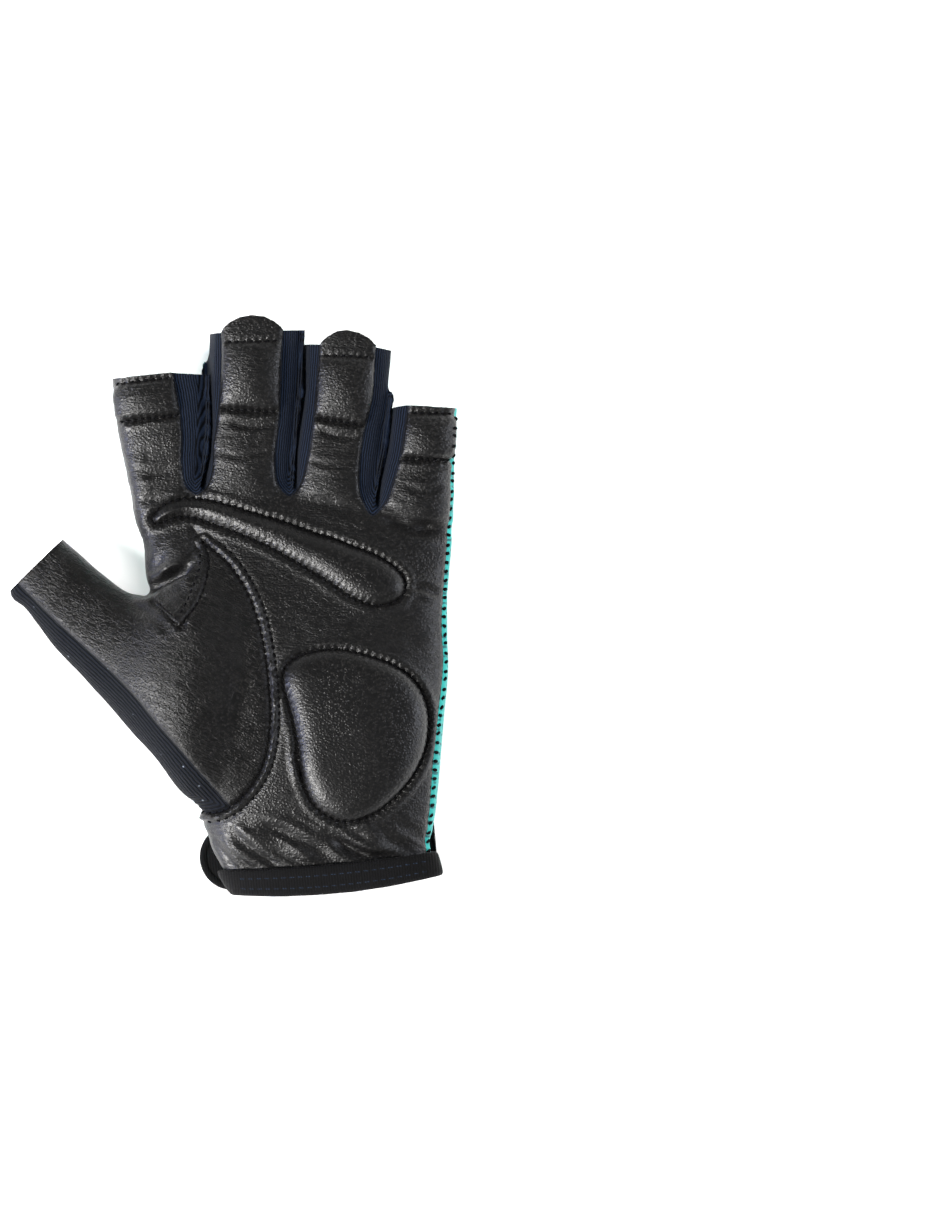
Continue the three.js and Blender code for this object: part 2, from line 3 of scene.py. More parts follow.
import bpy
import numpy as np
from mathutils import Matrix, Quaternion, Vector
from mathutils.bvhtree import BVHTree
from mathutils.kdtree import KDTree


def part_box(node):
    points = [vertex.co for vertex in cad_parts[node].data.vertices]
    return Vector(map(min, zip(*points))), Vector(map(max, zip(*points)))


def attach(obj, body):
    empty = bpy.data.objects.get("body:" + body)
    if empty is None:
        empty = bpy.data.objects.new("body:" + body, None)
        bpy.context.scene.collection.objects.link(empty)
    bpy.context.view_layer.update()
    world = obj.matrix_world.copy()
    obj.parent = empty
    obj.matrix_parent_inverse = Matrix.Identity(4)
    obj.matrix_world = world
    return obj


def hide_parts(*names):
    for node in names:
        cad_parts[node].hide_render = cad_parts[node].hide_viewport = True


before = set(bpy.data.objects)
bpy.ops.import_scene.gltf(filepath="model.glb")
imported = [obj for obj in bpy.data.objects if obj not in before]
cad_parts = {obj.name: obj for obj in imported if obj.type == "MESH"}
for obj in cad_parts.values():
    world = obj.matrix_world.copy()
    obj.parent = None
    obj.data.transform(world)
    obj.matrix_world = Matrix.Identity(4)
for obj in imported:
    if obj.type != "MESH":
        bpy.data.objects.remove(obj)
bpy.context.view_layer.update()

# A half-finger weightlifting glove for the left hand, lying palm up on its back.
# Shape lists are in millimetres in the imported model's frame: x from the thumb side,
# y towards the fingers, z up out of the palm. Meshes are made in metres.
mm = 0.001
chance = np.random.default_rng(7)

# Sizes of the body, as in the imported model
glove = {
    "palmWidth": 89.0,
    "palmLength": 110.5,
    "palmHeight": 24.0,
    "fingerHeight": 15.0,
    "thumbTipHeight": 15.0,
    "thumbHeight": 27.0,
    "upperSquareness": 2.4,
    "lowerSquareness": 2.9,
    "fingerSquareness": 3.0,  # the stalls press against each other
    "restFlattening": 0.5,
    "wristLift": 3.8,
    "corner": (-28.0, -77.835),  # the hem line on the thumb side
    "skinStep": 0.55,  # spacing of the skin's points
    "pastEnd": 5.0,  # how far the skin runs past each cut end before it is trimmed
}


def palmPoint(across, along):
    corner = glove["corner"]
    return np.array([corner[0] + across * glove["palmWidth"], corner[1] + along * glove["palmLength"]])


# A smooth curve through rows of values, sampled at one place
def curveThrough(knots, rows, at):
    knots, rows = np.asarray(knots, float), np.asarray(rows, float)
    slopes = np.gradient(rows, knots, axis=0)
    i = int(np.clip(np.searchsorted(knots, at) - 1, 0, len(knots) - 2))
    span = knots[i + 1] - knots[i]
    t = (at - knots[i]) / span
    ends = (2 * t**3 - 3 * t**2 + 1) * rows[i] + (3 * t**2 - 2 * t**3) * rows[i + 1]
    return ends + span * ((t**3 - 2 * t**2 + t) * slopes[i] + (t**3 - t**2) * slopes[i + 1])


def smoothLine(points, step=1.4, closed=False):
    points = np.asarray(points, float)
    if closed:
        points = np.vstack([points[-3:], points, points[:4]])
    knots = np.concatenate([[0], np.cumsum(np.linalg.norm(np.diff(points, axis=0), axis=1))])
    first, last = (knots[3], knots[-4]) if closed else (knots[0], knots[-1])
    count = max(2, int(round((last - first) / step)) + 1)
    line = np.array([curveThrough(knots, points, at) for at in np.linspace(first, last, count)])
    return line[:-1] if closed else line


# The body, section by section

# along, left, right (shares of the palm), height and lift (shares), yaw in degrees
handSections = np.array([
    (0.0, 0.326, 0.95, 0.6, 1, 5.5),
    (0.06, 0.282, 0.931, 0.66, 1, 5),
    (0.18, 0.216, 0.947, 0.8, 0.86, 3),
    (0.38, 0.16, 0.969, 0.95, 0.35, 1),
    (0.55, 0.107, 0.987, 0.95, 0, 0),
    (0.72, 0.053, 0.981, 0.86, 0, -2),
    (0.87, 0.028, 0.991, 0.72, 0, -4),
    (1.0, 0.003, 1.0, 0.55, 0, -5.6),
])

# The outer sides of the fingers and the slits between them, from the fork to past the tips
fingerSides = [
    [(-27.7, 14.0), (-27.2, 29.6), (-29.7, 40.8), (-32.5, 52.0), (-34.1, 63.7), (-34.6, 90.0)],
    [(-10.2, 14.0), (-9.9, 32.4), (-8.2, 41.9), (-7.6, 50.3), (-7.8, 63.7), (-7.4, 75.5), (-7.3, 95.0)],
    [(15.6, 14.0), (15.8, 33.0), (16.1, 41.9), (16.9, 50.3), (18.3, 60.4), (18.7, 75.0), (18.9, 95.0)],
    [(38.0, 10.0), (38.7, 28.2), (39.5, 35.2), (41.2, 43.6), (42.9, 57.0), (44.5, 71.0), (44.9, 95.0)],
    [(60.4, 10.0), (61.0, 33.5), (61.3, 43.6), (62.1, 56.2), (62.2, 90.0)],
]
forkEnds = [31.6, 31.6, 26.4]  # how far down each slit is cut
fingerEnds = [64.2, 76.4, 72.4, 55.4]

# past the fork (1 at the cut end), girth, bottom and top (shares)
stallSections = np.array([
    (-1, 0.6, 0.36, 0.74),
    (-0.3, 0.97, 0.06, 0.97),
    (0, 1, 0, 1),
    (0.5, 1, 0, 1),
    (1, 1, 0, 0.97),
])
fork = {"y": 32.67, "rootDepth": 18.0}

# reach, rise, spread (shares), turn in degrees, bottom and top (shares)
thumbSections = np.array([
    (1.0, 1.0, 0.0, 45.6, 0.06, 0.0),
    (0.842, 0.657, 0.076, 36.5, 0.05, 0.25),
    (0.65, 0.343, 0.216, 20.2, 0.04, 0.55),
    (0.475, 0.165, 0.58, 5.7, 0.04, 0.92),
    (0.32, 0.077, 1.0, 3.1, 0.1, 1.0),
    (0.17, 0.04, 0.86, 2.8, 0.22, 0.82),
    (0.0, 0.0, 0.51, 2.5, 0.36, 0.4),
])
thumb = {"reach": 64.8, "rise": 34.7, "tipWidth": 20.4, "rootWidth": 67.5, "root": palmPoint(0.431, 0.491)}


def sectionRing(middle, turn, halfWidth, bottom, top, upper=glove["upperSquareness"], sides=72):
    angle = 2 * math.pi * (np.arange(sides) + 0.5) / sides
    power = 2 / np.where(np.sin(angle) > 0, upper, glove["lowerSquareness"])
    rounded = [np.sign(v) * np.abs(v) ** power for v in (np.cos(angle), np.sin(angle))]
    aside = halfWidth * rounded[0]
    height = (bottom + top) / 2 + (top - bottom) / 2 * rounded[1]
    return np.column_stack([middle[0] + math.cos(turn) * aside, middle[1] + math.sin(turn) * aside, height])


def handRing(along, sides=72):
    inside = max(along, 0.0)
    left, right, height, lift, yaw = curveThrough(handSections[:, 0], handSections[:, 1:], inside)
    turn = math.radians(yaw)
    middle = palmPoint((left + right) / 2, inside)
    middle = middle + min(along, 0.0) * glove["palmLength"] * np.array([-math.sin(turn), math.cos(turn)])
    base = lift * glove["wristLift"]
    halfWidth = (right - left) * glove["palmWidth"] / 2
    bottom, top = base - glove["restFlattening"], base + height * glove["palmHeight"]
    return sectionRing(middle, turn, halfWidth, bottom, top, sides=sides)


def sideAt(index, y):
    line = np.array(fingerSides[index])
    return np.interp(y, line[:, 1], line[:, 0])


def stallRings(index):
    end = fingerEnds[index] + (4.0 if index in (1, 2) else 0.0)
    root = fork["y"] - fork["rootDepth"]
    rings = []
    for past in [*np.linspace(-1, 1, 25), 1.0 + glove["pastEnd"] / (end - fork["y"])]:
        girth, bottom, top = curveThrough(stallSections[:, 0], stallSections[:, 1:], min(past, 1.0))
        y = fork["y"] + past * (end - fork["y"] if past > 0 else fork["y"] - root)
        left, right = sideAt(index, y), sideAt(index + 1, y)
        rings.append(sectionRing(
            ((left + right) / 2, y), 0.0, min(girth, 1.0) * (right - left) / 2,
            bottom * glove["fingerHeight"] - glove["restFlattening"], top * glove["fingerHeight"],
            glove["fingerSquareness"],
        ))
    return rings


def thumbRing(row):
    reach, rise, spread, turn, bottom, top = row
    middle = thumb["root"] + np.array([-reach * thumb["reach"], rise * thumb["rise"]])
    width = thumb["tipWidth"] + spread * (thumb["rootWidth"] - thumb["tipWidth"])
    height = glove["thumbTipHeight"] + top * (glove["thumbHeight"] - glove["thumbTipHeight"])
    return sectionRing(middle, math.radians(-90 - turn), width / 2, bottom * glove["palmHeight"], height)


def thumbRings():
    middles = thumbSections[:, :2] * np.array([-thumb["reach"], thumb["rise"]])
    knots = np.concatenate([[0], np.cumsum(np.linalg.norm(np.diff(middles, axis=0), axis=1))])
    rings = [thumbRing(curveThrough(knots, thumbSections, at)) for at in np.linspace(0, knots[-1], 40)]
    outward = middles[0] - middles[1]
    outward = outward / np.linalg.norm(outward) * glove["pastEnd"]
    return [rings[0] + np.array([outward[0], outward[1], 0]), *rings]


# Meshes from lists and back

def meshFrom(name, points, faces):
    mesh = bpy.data.meshes.new(name)
    mesh.from_pydata([tuple(p) for p in points], [], [tuple(f) for f in faces])
    mesh.validate()
    mesh.update()
    return mesh


def fastMesh(name, points, triangles):
    mesh = bpy.data.meshes.new(name)
    mesh.vertices.add(len(points))
    mesh.vertices.foreach_set("co", np.asarray(points, np.float32).ravel())
    mesh.loops.add(3 * len(triangles))
    mesh.loops.foreach_set("vertex_index", np.asarray(triangles, np.int32).ravel())
    mesh.polygons.add(len(triangles))
    mesh.polygons.foreach_set("loop_start", np.arange(0, 3 * len(triangles), 3, dtype=np.int32))
    mesh.update(calc_edges=True)
    mesh.validate()
    return mesh


def loft(rings):
    sides = len(rings[0])
    points = np.vstack([*rings, rings[0].mean(axis=0), rings[-1].mean(axis=0)])
    faces = []
    for row in range(len(rings) - 1):
        for i in range(sides):
            a, b = row * sides + i, row * sides + (i + 1) % sides
            faces.append((a, b, b + sides, a + sides))
    last = (len(rings) - 1) * sides
    for i in range(sides):
        faces.append((len(points) - 2, (i + 1) % sides, i))
        faces.append((len(points) - 1, last + i, last + (i + 1) % sides))
    return points, faces


def joinedLofts(lofts):
    points, faces, count = [], [], 0
    for loftPoints, loftFaces in lofts:
        points.append(loftPoints)
        faces += [tuple(i + count for i in face) for face in loftFaces]
        count += len(loftPoints)
    return np.vstack(points), faces


def trianglesOf(mesh):
    mesh.calc_loop_triangles()
    points = np.empty(3 * len(mesh.vertices), np.float32)
    mesh.vertices.foreach_get("co", points)
    triangles = np.empty(3 * len(mesh.loop_triangles), np.int32)
    mesh.loop_triangles.foreach_get("vertices", triangles)
    return points.reshape(-1, 3).astype(float), triangles.reshape(-1, 3)


# Applies modifiers to a passing object and gives back the resulting mesh
def worked(mesh, settings):
    passing = bpy.data.objects.new("passing", mesh)
    bpy.context.scene.collection.objects.link(passing)
    for kind, values in settings:
        modifier = passing.modifiers.new(kind, kind)
        for key, value in values.items():
            setattr(modifier, key, value)
    graph = bpy.context.evaluated_depsgraph_get()
    result = bpy.data.meshes.new_from_object(passing.evaluated_get(graph))
    bpy.data.objects.remove(passing)
    return result


# The slits lean, so that the floor doesn't show between the fingers from straight above
slits = {"lean": 0.3, "leanFrom": 7.2, "width": 0.6, "step": 0.8, "low": -1.5, "high": 17.0, "end": 93.0}


def slitAt(index, y, z):
    return sideAt(index, y) + slits["lean"] * (z - slits["leanFrom"])


def slitSlab(index, low):
    ys = np.arange(low, slits["end"], slits["step"])
    zs = np.arange(slits["low"], slits["high"], slits["step"])
    sheets = []
    for side in (-0.5, 0.5):
        y, z = np.meshgrid(ys, zs, indexing="ij")
        x = slitAt(index, y, z) + side * slits["width"]
        sheets.append(np.column_stack([x.ravel(), y.ravel(), z.ravel()]))
    rows, columns = len(ys), len(zs)
    count = rows * columns
    faces = []
    for i in range(rows - 1):
        for j in range(columns - 1):
            a = i * columns + j
            quad = (a, a + 1, a + columns + 1, a + columns)
            faces.append(quad)
            faces.append(tuple(k + count for k in reversed(quad)))
    rim = [(i, 0) for i in range(rows)] + [(rows - 1, j) for j in range(1, columns)]
    rim += [(i, columns - 1) for i in range(rows - 2, -1, -1)] + [(0, j) for j in range(columns - 2, 0, -1)]
    rim = [i * columns + j for i, j in rim]
    for k, a in enumerate(rim):
        b = rim[(k + 1) % len(rim)]
        faces.append((a, b, b + count, a + count))
    return np.vstack(sheets), faces


def sidesOf(triangles):
    return np.vstack([triangles[:, [0, 1]], triangles[:, [1, 2]], triangles[:, [2, 0]]])


# Two vectors along the sides of each triangle, multiplied crosswise: twice its area long
def crossOf(points, triangles):
    a, b, c = (points[triangles[:, k]] for k in range(3))
    return np.cross(b - a, c - a)


def edgeTable(triangles):
    pairs = np.sort(sidesOf(triangles), axis=1)
    size = int(triangles.max()) + 1
    codes = np.unique(pairs[:, 0].astype(np.int64) * size + pairs[:, 1])
    return np.column_stack([codes // size, codes % size])


def averaged(values, edges, count):
    total = np.zeros((count, values.shape[1]))
    for k in range(values.shape[1]):
        total[:, k] += np.bincount(edges[:, 0], values[edges[:, 1], k], count)
        total[:, k] += np.bincount(edges[:, 1], values[edges[:, 0], k], count)
    degree = np.bincount(edges.ravel(), minlength=count)
    return total / np.maximum(degree, 1)[:, None]


def smoothed(points, triangles, passes, weight=0.5):
    edges = edgeTable(triangles)
    weight = np.broadcast_to(np.asarray(weight, float), (len(points),))[:, None]
    for _ in range(passes):
        points = points + weight * (averaged(points, edges, len(points)) - points)
    return points


def normalsOf(points, triangles):
    faceNormals = crossOf(points, triangles)
    normals = np.zeros_like(points)
    for k in range(3):
        for axis in range(3):
            normals[:, axis] += np.bincount(triangles[:, k], faceNormals[:, axis], len(points))
    return normals / np.maximum(np.linalg.norm(normals, axis=1), 1e-12)[:, None]


def makeSkin():
    alongs = [-0.09, *np.linspace(0, 1, 45)]
    lofts = [loft([handRing(along) for along in alongs]), loft(thumbRings())]
    lofts += [loft(stallRings(index)) for index in range(4)]
    body = meshFrom("body", *joinedLofts(lofts))
    remesh = {"mode": "VOXEL", "voxel_size": glove["skinStep"], "adaptivity": 0.0}
    body = worked(body, [("REMESH", remesh)])
    slabs = [slitSlab(k + 1, low) for k, low in enumerate(forkEnds)]
    cutter = bpy.data.objects.new("slits", meshFrom("slits", *joinedLofts(slabs)))
    bpy.context.scene.collection.objects.link(cutter)
    body = worked(body, [("BOOLEAN", {"operation": "DIFFERENCE", "solver": "MANIFOLD", "object": cutter})])
    bpy.data.objects.remove(cutter)
    points, triangles = trianglesOf(body)
    points = smoothed(points, triangles, 10)
    nearFork = np.exp(-((points[:, 1] - 24.0) / 10.0) ** 2)
    points = smoothed(points, triangles, 30, 0.5 * nearFork)
    aroundThumb = np.zeros(len(points))
    high = np.flatnonzero(points[:, 2] > 11.0)
    aroundThumb[high] = np.exp(-(fromLine(points[high], thumbSeam)[0] / 9.0) ** 2)
    points = smoothed(points, triangles, 150, 0.5 * aroundThumb)
    points[:, 2] = np.maximum(points[:, 2], 0.0)
    return points, triangles


# Lines sewn into the skin, seen from above

# The knit between the fingers: its seam with the leather, from one fingertip round the fork
knitSeams = [
    [(-16.6, 63.7), (-15.2, 56.2), (-14.3, 47.8), (-14.3, 38.5), (-13.2, 33.2), (-10.4, 30.9),
     (-7.6, 33.2), (-6.0, 38.5), (-6.0, 43.6), (-4.8, 50.3), (-3.7, 57.9), (-3.3, 66.0), (-3.4, 75.5)],
    [(13.6, 76.3), (13.3, 68.8), (12.7, 52.0), (11.6, 39.4), (12.6, 33.5), (15.6, 30.5),
     (18.3, 33.5), (20.0, 38.5), (21.9, 49.5), (22.8, 57.9), (23.9, 72.7)],
    [(39.5, 72.7), (39.2, 68.8), (38.4, 57.9), (36.2, 47.8), (35.1, 38.5), (35.6, 30.0),
     (38.7, 25.0), (42.0, 28.4), (44.5, 35.2), (46.2, 41.1), (47.6, 49.5), (48.4, 55.3)],
]
thumbSeam = smoothLine([
    (-8.5, 18.1), (-6.2, 16.2), (-1.2, 11.7), (3.5, 4.7), (6.6, -2.6), (8.5, -10.4), (9.9, -20.5),
    (10.5, -31.1), (9.9, -38.1), (8.0, -45.4), (4.9, -50.4), (1.0, -54.6), (-3.7, -57.2),
    (-8.5, -57.5), (-12.5, -54.6),
])
crotchLine = smoothLine([(-25.2, 2.7), (-19.1, 6.7), (-10.7, 10.9), (-8.5, 18.1)])
besideThumb = [(-24.0, -62.0), (-90.0, -62.0), (-90.0, 60.0), (-40.0, 60.0), (-28.0, 8.0)]
thumbKnitSeam = smoothLine([
    (-68.0, 14.4), (-58.7, 5.0), (-51.2, -2.6), (-42.5, -10.4), (-35.5, -16.8), (-29.7, -22.7),
    (-22.7, -30.8), (-15.4, -38.9), (-8.5, -46.8), (-2.9, -53.2), (3.0, -60.0),
])
thumbUnder = [(-23.5, 3.2), (-13.8, -35.8), (-8.8, -57.8), (-24.0, -62.0), (-90.0, -62.0), (-90.0, 60.0),
              (-40.0, 60.0), (-28.0, 8.0)]
knuckleOutline = smoothLine([
    (-22.6, 24.2), (-21.6, 26.0), (-18.8, 28.2), (-14.9, 29.6), (-11.0, 29.9), (-6.2, 29.3), (-1.8, 28.2),
    (4.9, 26.0), (10.8, 24.3), (16.4, 22.6), (22.2, 20.4), (27.8, 18.7), (33.4, 16.4), (39.2, 14.2),
    (44.3, 11.1), (47.1, 8.3), (47.9, 5.5), (47.1, 2.7), (44.0, 0.8), (39.2, 0.2), (35.3, 1.3),
    (30.6, 3.9), (26.7, 6.7), (22.2, 9.5), (16.4, 12.8), (10.8, 16.0), (4.9, 18.7), (-0.7, 20.9),
    (-6.2, 22.9), (-10.4, 24.3), (-13.8, 24.8), (-17.7, 24.0), (-20.5, 22.9), (-22.4, 22.8),
], closed=True)
heelOutline = smoothLine([
    (30.3, -12.1), (38.1, -14.0), (43.4, -15.9), (49.0, -19.4), (52.4, -23.8), (54.3, -29.7),
    (54.3, -36.1), (52.6, -42.6), (49.3, -48.5), (45.1, -53.2), (39.8, -57.4), (34.5, -59.6),
    (30.3, -59.9), (26.4, -58.5), (22.2, -54.9), (20.3, -51.0), (18.9, -46.8), (18.0, -38.7),
    (16.9, -32.8), (15.2, -26.4), (13.8, -20.5), (14.7, -16.8), (18.0, -14.0), (22.2, -12.6),
], closed=True)
gussetOutline = smoothLine([
    (-8.5, 17.6), (-6.8, 13.1), (-7.1, 8.9), (-8.2, 4.4), (-9.3, 1.6), (-12.1, -2.6), (-14.1, -5.4),
], 0.5)
gussetInner = smoothLine([(-9.3, 15.3), (-9.3, 11.1), (-10.7, 6.1), (-12.7, 1.1), (-14.9, -2.9)])
gussetLip = smoothLine([(-14.1, -5.4), (-17.0, -2.6), (-21.5, 1.1)])
gussetFold = [(-21.5, 1.1), (-19.3, 5.0), (-15.0, 8.0), (-10.9, 10.9)]

# The doubled leather of each fingertip: its lower and upper stitch lines
capLines = [
    {"node": "index_hem", "low": [(-33.0, 51.0), (-13.8, 53.2)], "high": [(-34.2, 61.4), (-16.4, 63.6)]},
    {"node": "middle_cap", "low": [(-4.6, 54.9), (12.9, 53.8)], "high": [(-3.2, 73.2), (13.4, 73.6)]},
    {"node": "ring_cap", "low": [(22.2, 52.5), (37.4, 49.8)], "high": [(24.0, 69.5), (38.9, 69.0)]},
    {"node": "little_hem", "low": [(46.4, 41.1), (61.4, 40.4)], "high": [(48.4, 53.6), (62.0, 53.3)]},
]
endLines = [
    [(-34, 63.2), (-30, 63.6), (-18, 64.8), (-8, 64.3)],
    [(-8, 75.7), (5, 76.3), (18.6, 76.7)],
    [(18.6, 72.8), (38, 72.2), (44.5, 71.0)],
    [(43, 55.1), (48, 55.8), (62, 55.0)],
]
domes = {
    1: [(-3.5, 75.4), (-2.6, 77.2), (-1.0, 78.8), (1.7, 80.2), (4.8, 80.8), (8.5, 80.5), (11.2, 79.1),
        (12.8, 77.8), (13.7, 76.5)],
    2: [(23.8, 72.0), (24.8, 73.6), (26.4, 75.0), (28.8, 76.3), (31.5, 76.7), (34.9, 75.9), (37.6, 74.4),
        (39.4, 72.4)],
}

# The cut across the thumb's end, and the corner that is trimmed off it
thumbEnd = {
    "slope": 1.02, "tip": (-54.8, 11.55), "corner": (-60.5, 2.1), "away": (0.857, 0.514), "from": -44.0,
}

# Where the leather ends and the back begins: y, level at the thumb side, level at the outer side
backLevels = np.array([
    (-95, 10.1, 12.2), (-64.6, 10.1, 12.6), (-44.7, 9.1, 12.4), (-22.6, 8.2, 12.0), (1.7, 7.2, 11.2),
    (32.7, 5.3, 7.2), (90, 5.3, 7.0),
])
# How much of the back shows beside the leather from straight above: y, width
backShows = np.array([
    (-90.0, 1.2), (-68.3, 1.2), (-60.5, 1.4), (-52.1, 1.6), (-41.5, 1.8), (-33.3, 1.8), (-25.2, 1.4),
    (-14.6, 1.0), (-5.4, 1.3), (1.6, 1.0), (10.0, 1.0), (22.6, 0.7), (43.6, 0.5), (90.0, 0.4),
])
levels = {"knitBottom": 3.3, "thumbKnit": 8.3, "top": 10.0, "hemTrim": 3.6}
hem = {"middle": palmPoint(0.638, 0.0), "yaw": math.radians(5.5)}


def alongHem(points):
    away = points[:, :2] - hem["middle"]
    return -away[:, 0] * math.sin(hem["yaw"]) + away[:, 1] * math.cos(hem["yaw"])


# Distance in plan from a line, the way along it, and the side of it (left is positive)
def fromLine(points, line):
    line = np.asarray(line, float)
    best = np.full(len(points), 1e9)
    way = np.zeros(len(points))
    side = np.ones(len(points))
    run = 0.0
    for a, b in zip(line[:-1], line[1:]):
        step = b - a
        length = float(np.linalg.norm(step))
        if length < 1e-9:
            continue
        away = points[:, :2] - a
        t = np.clip(away @ step / length**2, 0, 1)
        miss = away - t[:, None] * step
        distance = np.hypot(miss[:, 0], miss[:, 1])
        nearer = distance < best
        best = np.where(nearer, distance, best)
        way = np.where(nearer, run + t * length, way)
        side = np.where(nearer, np.sign(step[0] * away[:, 1] - step[1] * away[:, 0]), side)
        run += length
    return best, way, side


# Signed distance from a closed outline, negative inside
def fromOutline(points, outline, margin=3.0):
    outline = np.asarray(outline, float)
    low, high = outline.min(axis=0) - margin, outline.max(axis=0) + margin
    near = np.all((points[:, :2] > low) & (points[:, :2] < high), axis=1)
    result = np.full(len(points), margin)
    points = points[near]
    loop = np.vstack([outline, outline[:1]])
    distance = fromLine(points, loop)[0]
    inside = np.zeros(len(points), bool)
    x, y = points[:, 0], points[:, 1]
    for (ax, ay), (bx, by) in zip(loop[:-1], loop[1:]):
        if ay == by:
            continue
        crosses = (ay > y) != (by > y)
        inside ^= crosses & (x < (bx - ax) * (y - ay) / (by - ay) + ax)
    result[near] = np.where(inside, -distance, distance)
    return result


def fingerOf(points):
    finger = np.zeros(len(points), int)
    for k in (1, 2, 3):
        finger += points[:, 0] > slitAt(k, points[:, 1], points[:, 2])
    return finger


# A cap's leather runs a little past its lower stitch line at both ends, and up past the fingertip
capReach = {"past": 2.2, "top": 92.0, "left": 1.0, "right": 2.0}


def capOutline(cap):
    left, right = (np.array(end) for end in cap["low"])
    along = (right - left) / np.linalg.norm(right - left)
    left, right = left - capReach["past"] * along, right + capReach["past"] * along
    top = capReach["top"]
    return [left, right, (right[0] + capReach["right"], top), (left[0] - capReach["left"], top)]


# The outer side of the skin, seen from above, as x for each y
def outerEdge(points, step=1.5):
    rows = np.arange(-84.0, 56.0, step)
    widest = np.array([points[np.abs(points[:, 1] - row) < step, 0].max() for row in rows])
    return rows, np.convolve(np.pad(widest, 2, mode="edge"), np.ones(5) / 5, mode="valid")


# Every line that a piece's edge may run along, as a value that changes sign there
def fields(points):
    x, y, z = points.T
    finger = fingerOf(points)
    values = {}
    for k, seam in enumerate(knitSeams):
        line = smoothLine(seam)
        zone = [*line, (line[-1][0], 95.0), (line[0][0], 95.0)]
        values[f"knit{k}"] = fromOutline(points, zone)
    values["thumb"] = fromOutline(points, [*thumbSeam, *besideThumb, *crotchLine])
    strip = [*thumbKnitSeam, (3.0, -75.0), (-90.0, -75.0), (-90.0, 36.0)]
    values["thumbKnit"] = fromOutline(points, strip)
    values["thumbUnder"] = fromOutline(points, thumbUnder)
    values["knuckle"] = fromOutline(points, knuckleOutline)
    values["heel"] = fromOutline(points, heelOutline)
    values["gusset"] = fromOutline(points, [*gussetOutline, *gussetFold])
    for cap in capLines:
        values[cap["node"]] = fromOutline(points, capOutline(cap))
    share = np.clip((x - glove["corner"][0]) / glove["palmWidth"], 0, 1)
    left, right = (np.interp(y, backLevels[:, 0], backLevels[:, k]) for k in (1, 2))
    level = left + share * (right - left) - z
    values["back"] = np.maximum(level, x - np.interp(y, *outerSeam))
    values["thumbLevel"] = levels["thumbKnit"] - z
    values["knitBottom"] = levels["knitBottom"] - z
    ends = np.array([np.interp(x, *np.array(line).T) for line in endLines])
    values["end"] = y - ends[finger, np.arange(len(x))]
    tops = ends.copy()
    for k, dome in domes.items():
        tops[k] = np.where((x > dome[0][0]) & (x < dome[-1][0]), np.interp(x, *np.array(dome).T), tops[k])
    values["dome"] = y - tops[finger, np.arange(len(x))]
    values["hem"] = levels["hemTrim"] - alongHem(points)
    slope = thumbEnd["slope"]
    tip = np.array([1.0, -slope]) / math.hypot(1.0, slope)
    (tipX, tipY), (cornerX, cornerY), (wayX, wayY) = (thumbEnd[key] for key in ("tip", "corner", "away"))
    tipEdge = -((x - tipX) * tip[0] + (y - tipY) * tip[1])
    corner = -(x - cornerX) * wayX - (y - cornerY) * wayY
    values["thumbTip"] = np.where(x < thumbEnd["from"], np.maximum(tipEdge, corner), -1.0)
    return values


# The edges that a value changes sign along, and where on them
def crossings(value, edges):
    a, b = value[edges[:, 0]], value[edges[:, 1]]
    crossing = a * b < 0
    return crossing, np.where(crossing, a / np.where(crossing, a - b, 1), 0.5)


# Splits triangles along the line where one value changes sign. A point close to the line is
# moved onto it, unless it's already on another line.
def cutAlong(points, triangles, values, locked, key, snapShare=0.22):
    edges = edgeTable(triangles)
    crossing, t = crossings(values[key], edges)
    for end in (0, 1):
        share = t if end == 0 else 1 - t
        near = np.flatnonzero(crossing & (share < snapShare) & ~locked[edges[:, end]])
        near = near[np.argsort(share[near])]
        moved, first = np.unique(edges[near, end], return_index=True)
        pick = near[first]
        other = edges[pick, 1 - end]
        w = share[pick][:, None]
        points[moved] += w * (points[other] - points[moved])
        for name in values:
            values[name][moved] += share[pick] * (values[name][other] - values[name][moved])
        values[key][moved] = 0.0
        locked[moved] = True
        crossing, t = crossings(values[key], edges)
    cut = np.flatnonzero(crossing)
    a, b, w = edges[cut, 0], edges[cut, 1], t[cut]
    count = len(points)
    points = np.vstack([points, points[a] + w[:, None] * (points[b] - points[a])])
    for name in values:
        old = values[name]
        values[name] = np.concatenate([old, old[a] + w * (old[b] - old[a])])
    values[key][count:] = 0.0
    locked = np.concatenate([locked, np.ones(len(cut), bool)])
    codes = a.astype(np.int64) * (count + 1) + b

    def middleOf(p, q):
        low, high = np.minimum(p, q).astype(np.int64), np.maximum(p, q)
        code = low * (count + 1) + high
        at = np.clip(np.searchsorted(codes, code), 0, max(len(codes) - 1, 0))
        found = codes[at] == code if len(codes) else np.zeros(len(code), bool)
        return np.where(found, count + at, -1)

    middles = np.column_stack([middleOf(triangles[:, k], triangles[:, (k + 1) % 3]) for k in range(3)])
    cuts = (middles >= 0).sum(axis=1)
    made = [triangles[cuts == 0]]
    for k in range(3):
        p, q, r = triangles[:, k], triangles[:, (k + 1) % 3], triangles[:, (k + 2) % 3]
        one = (cuts == 1) & (middles[:, k] >= 0)
        m = middles[one, k]
        made += [np.column_stack([p[one], m, r[one]]), np.column_stack([m, q[one], r[one]])]
        two = (cuts == 2) & (middles[:, (k + 1) % 3] < 0)
        m, n = middles[two, k], middles[two, (k + 2) % 3]
        made += [np.column_stack([p[two], m, n]), np.column_stack([m, q[two], r[two]]),
                 np.column_stack([m, r[two], n])]
    return points, np.vstack(made), values, locked


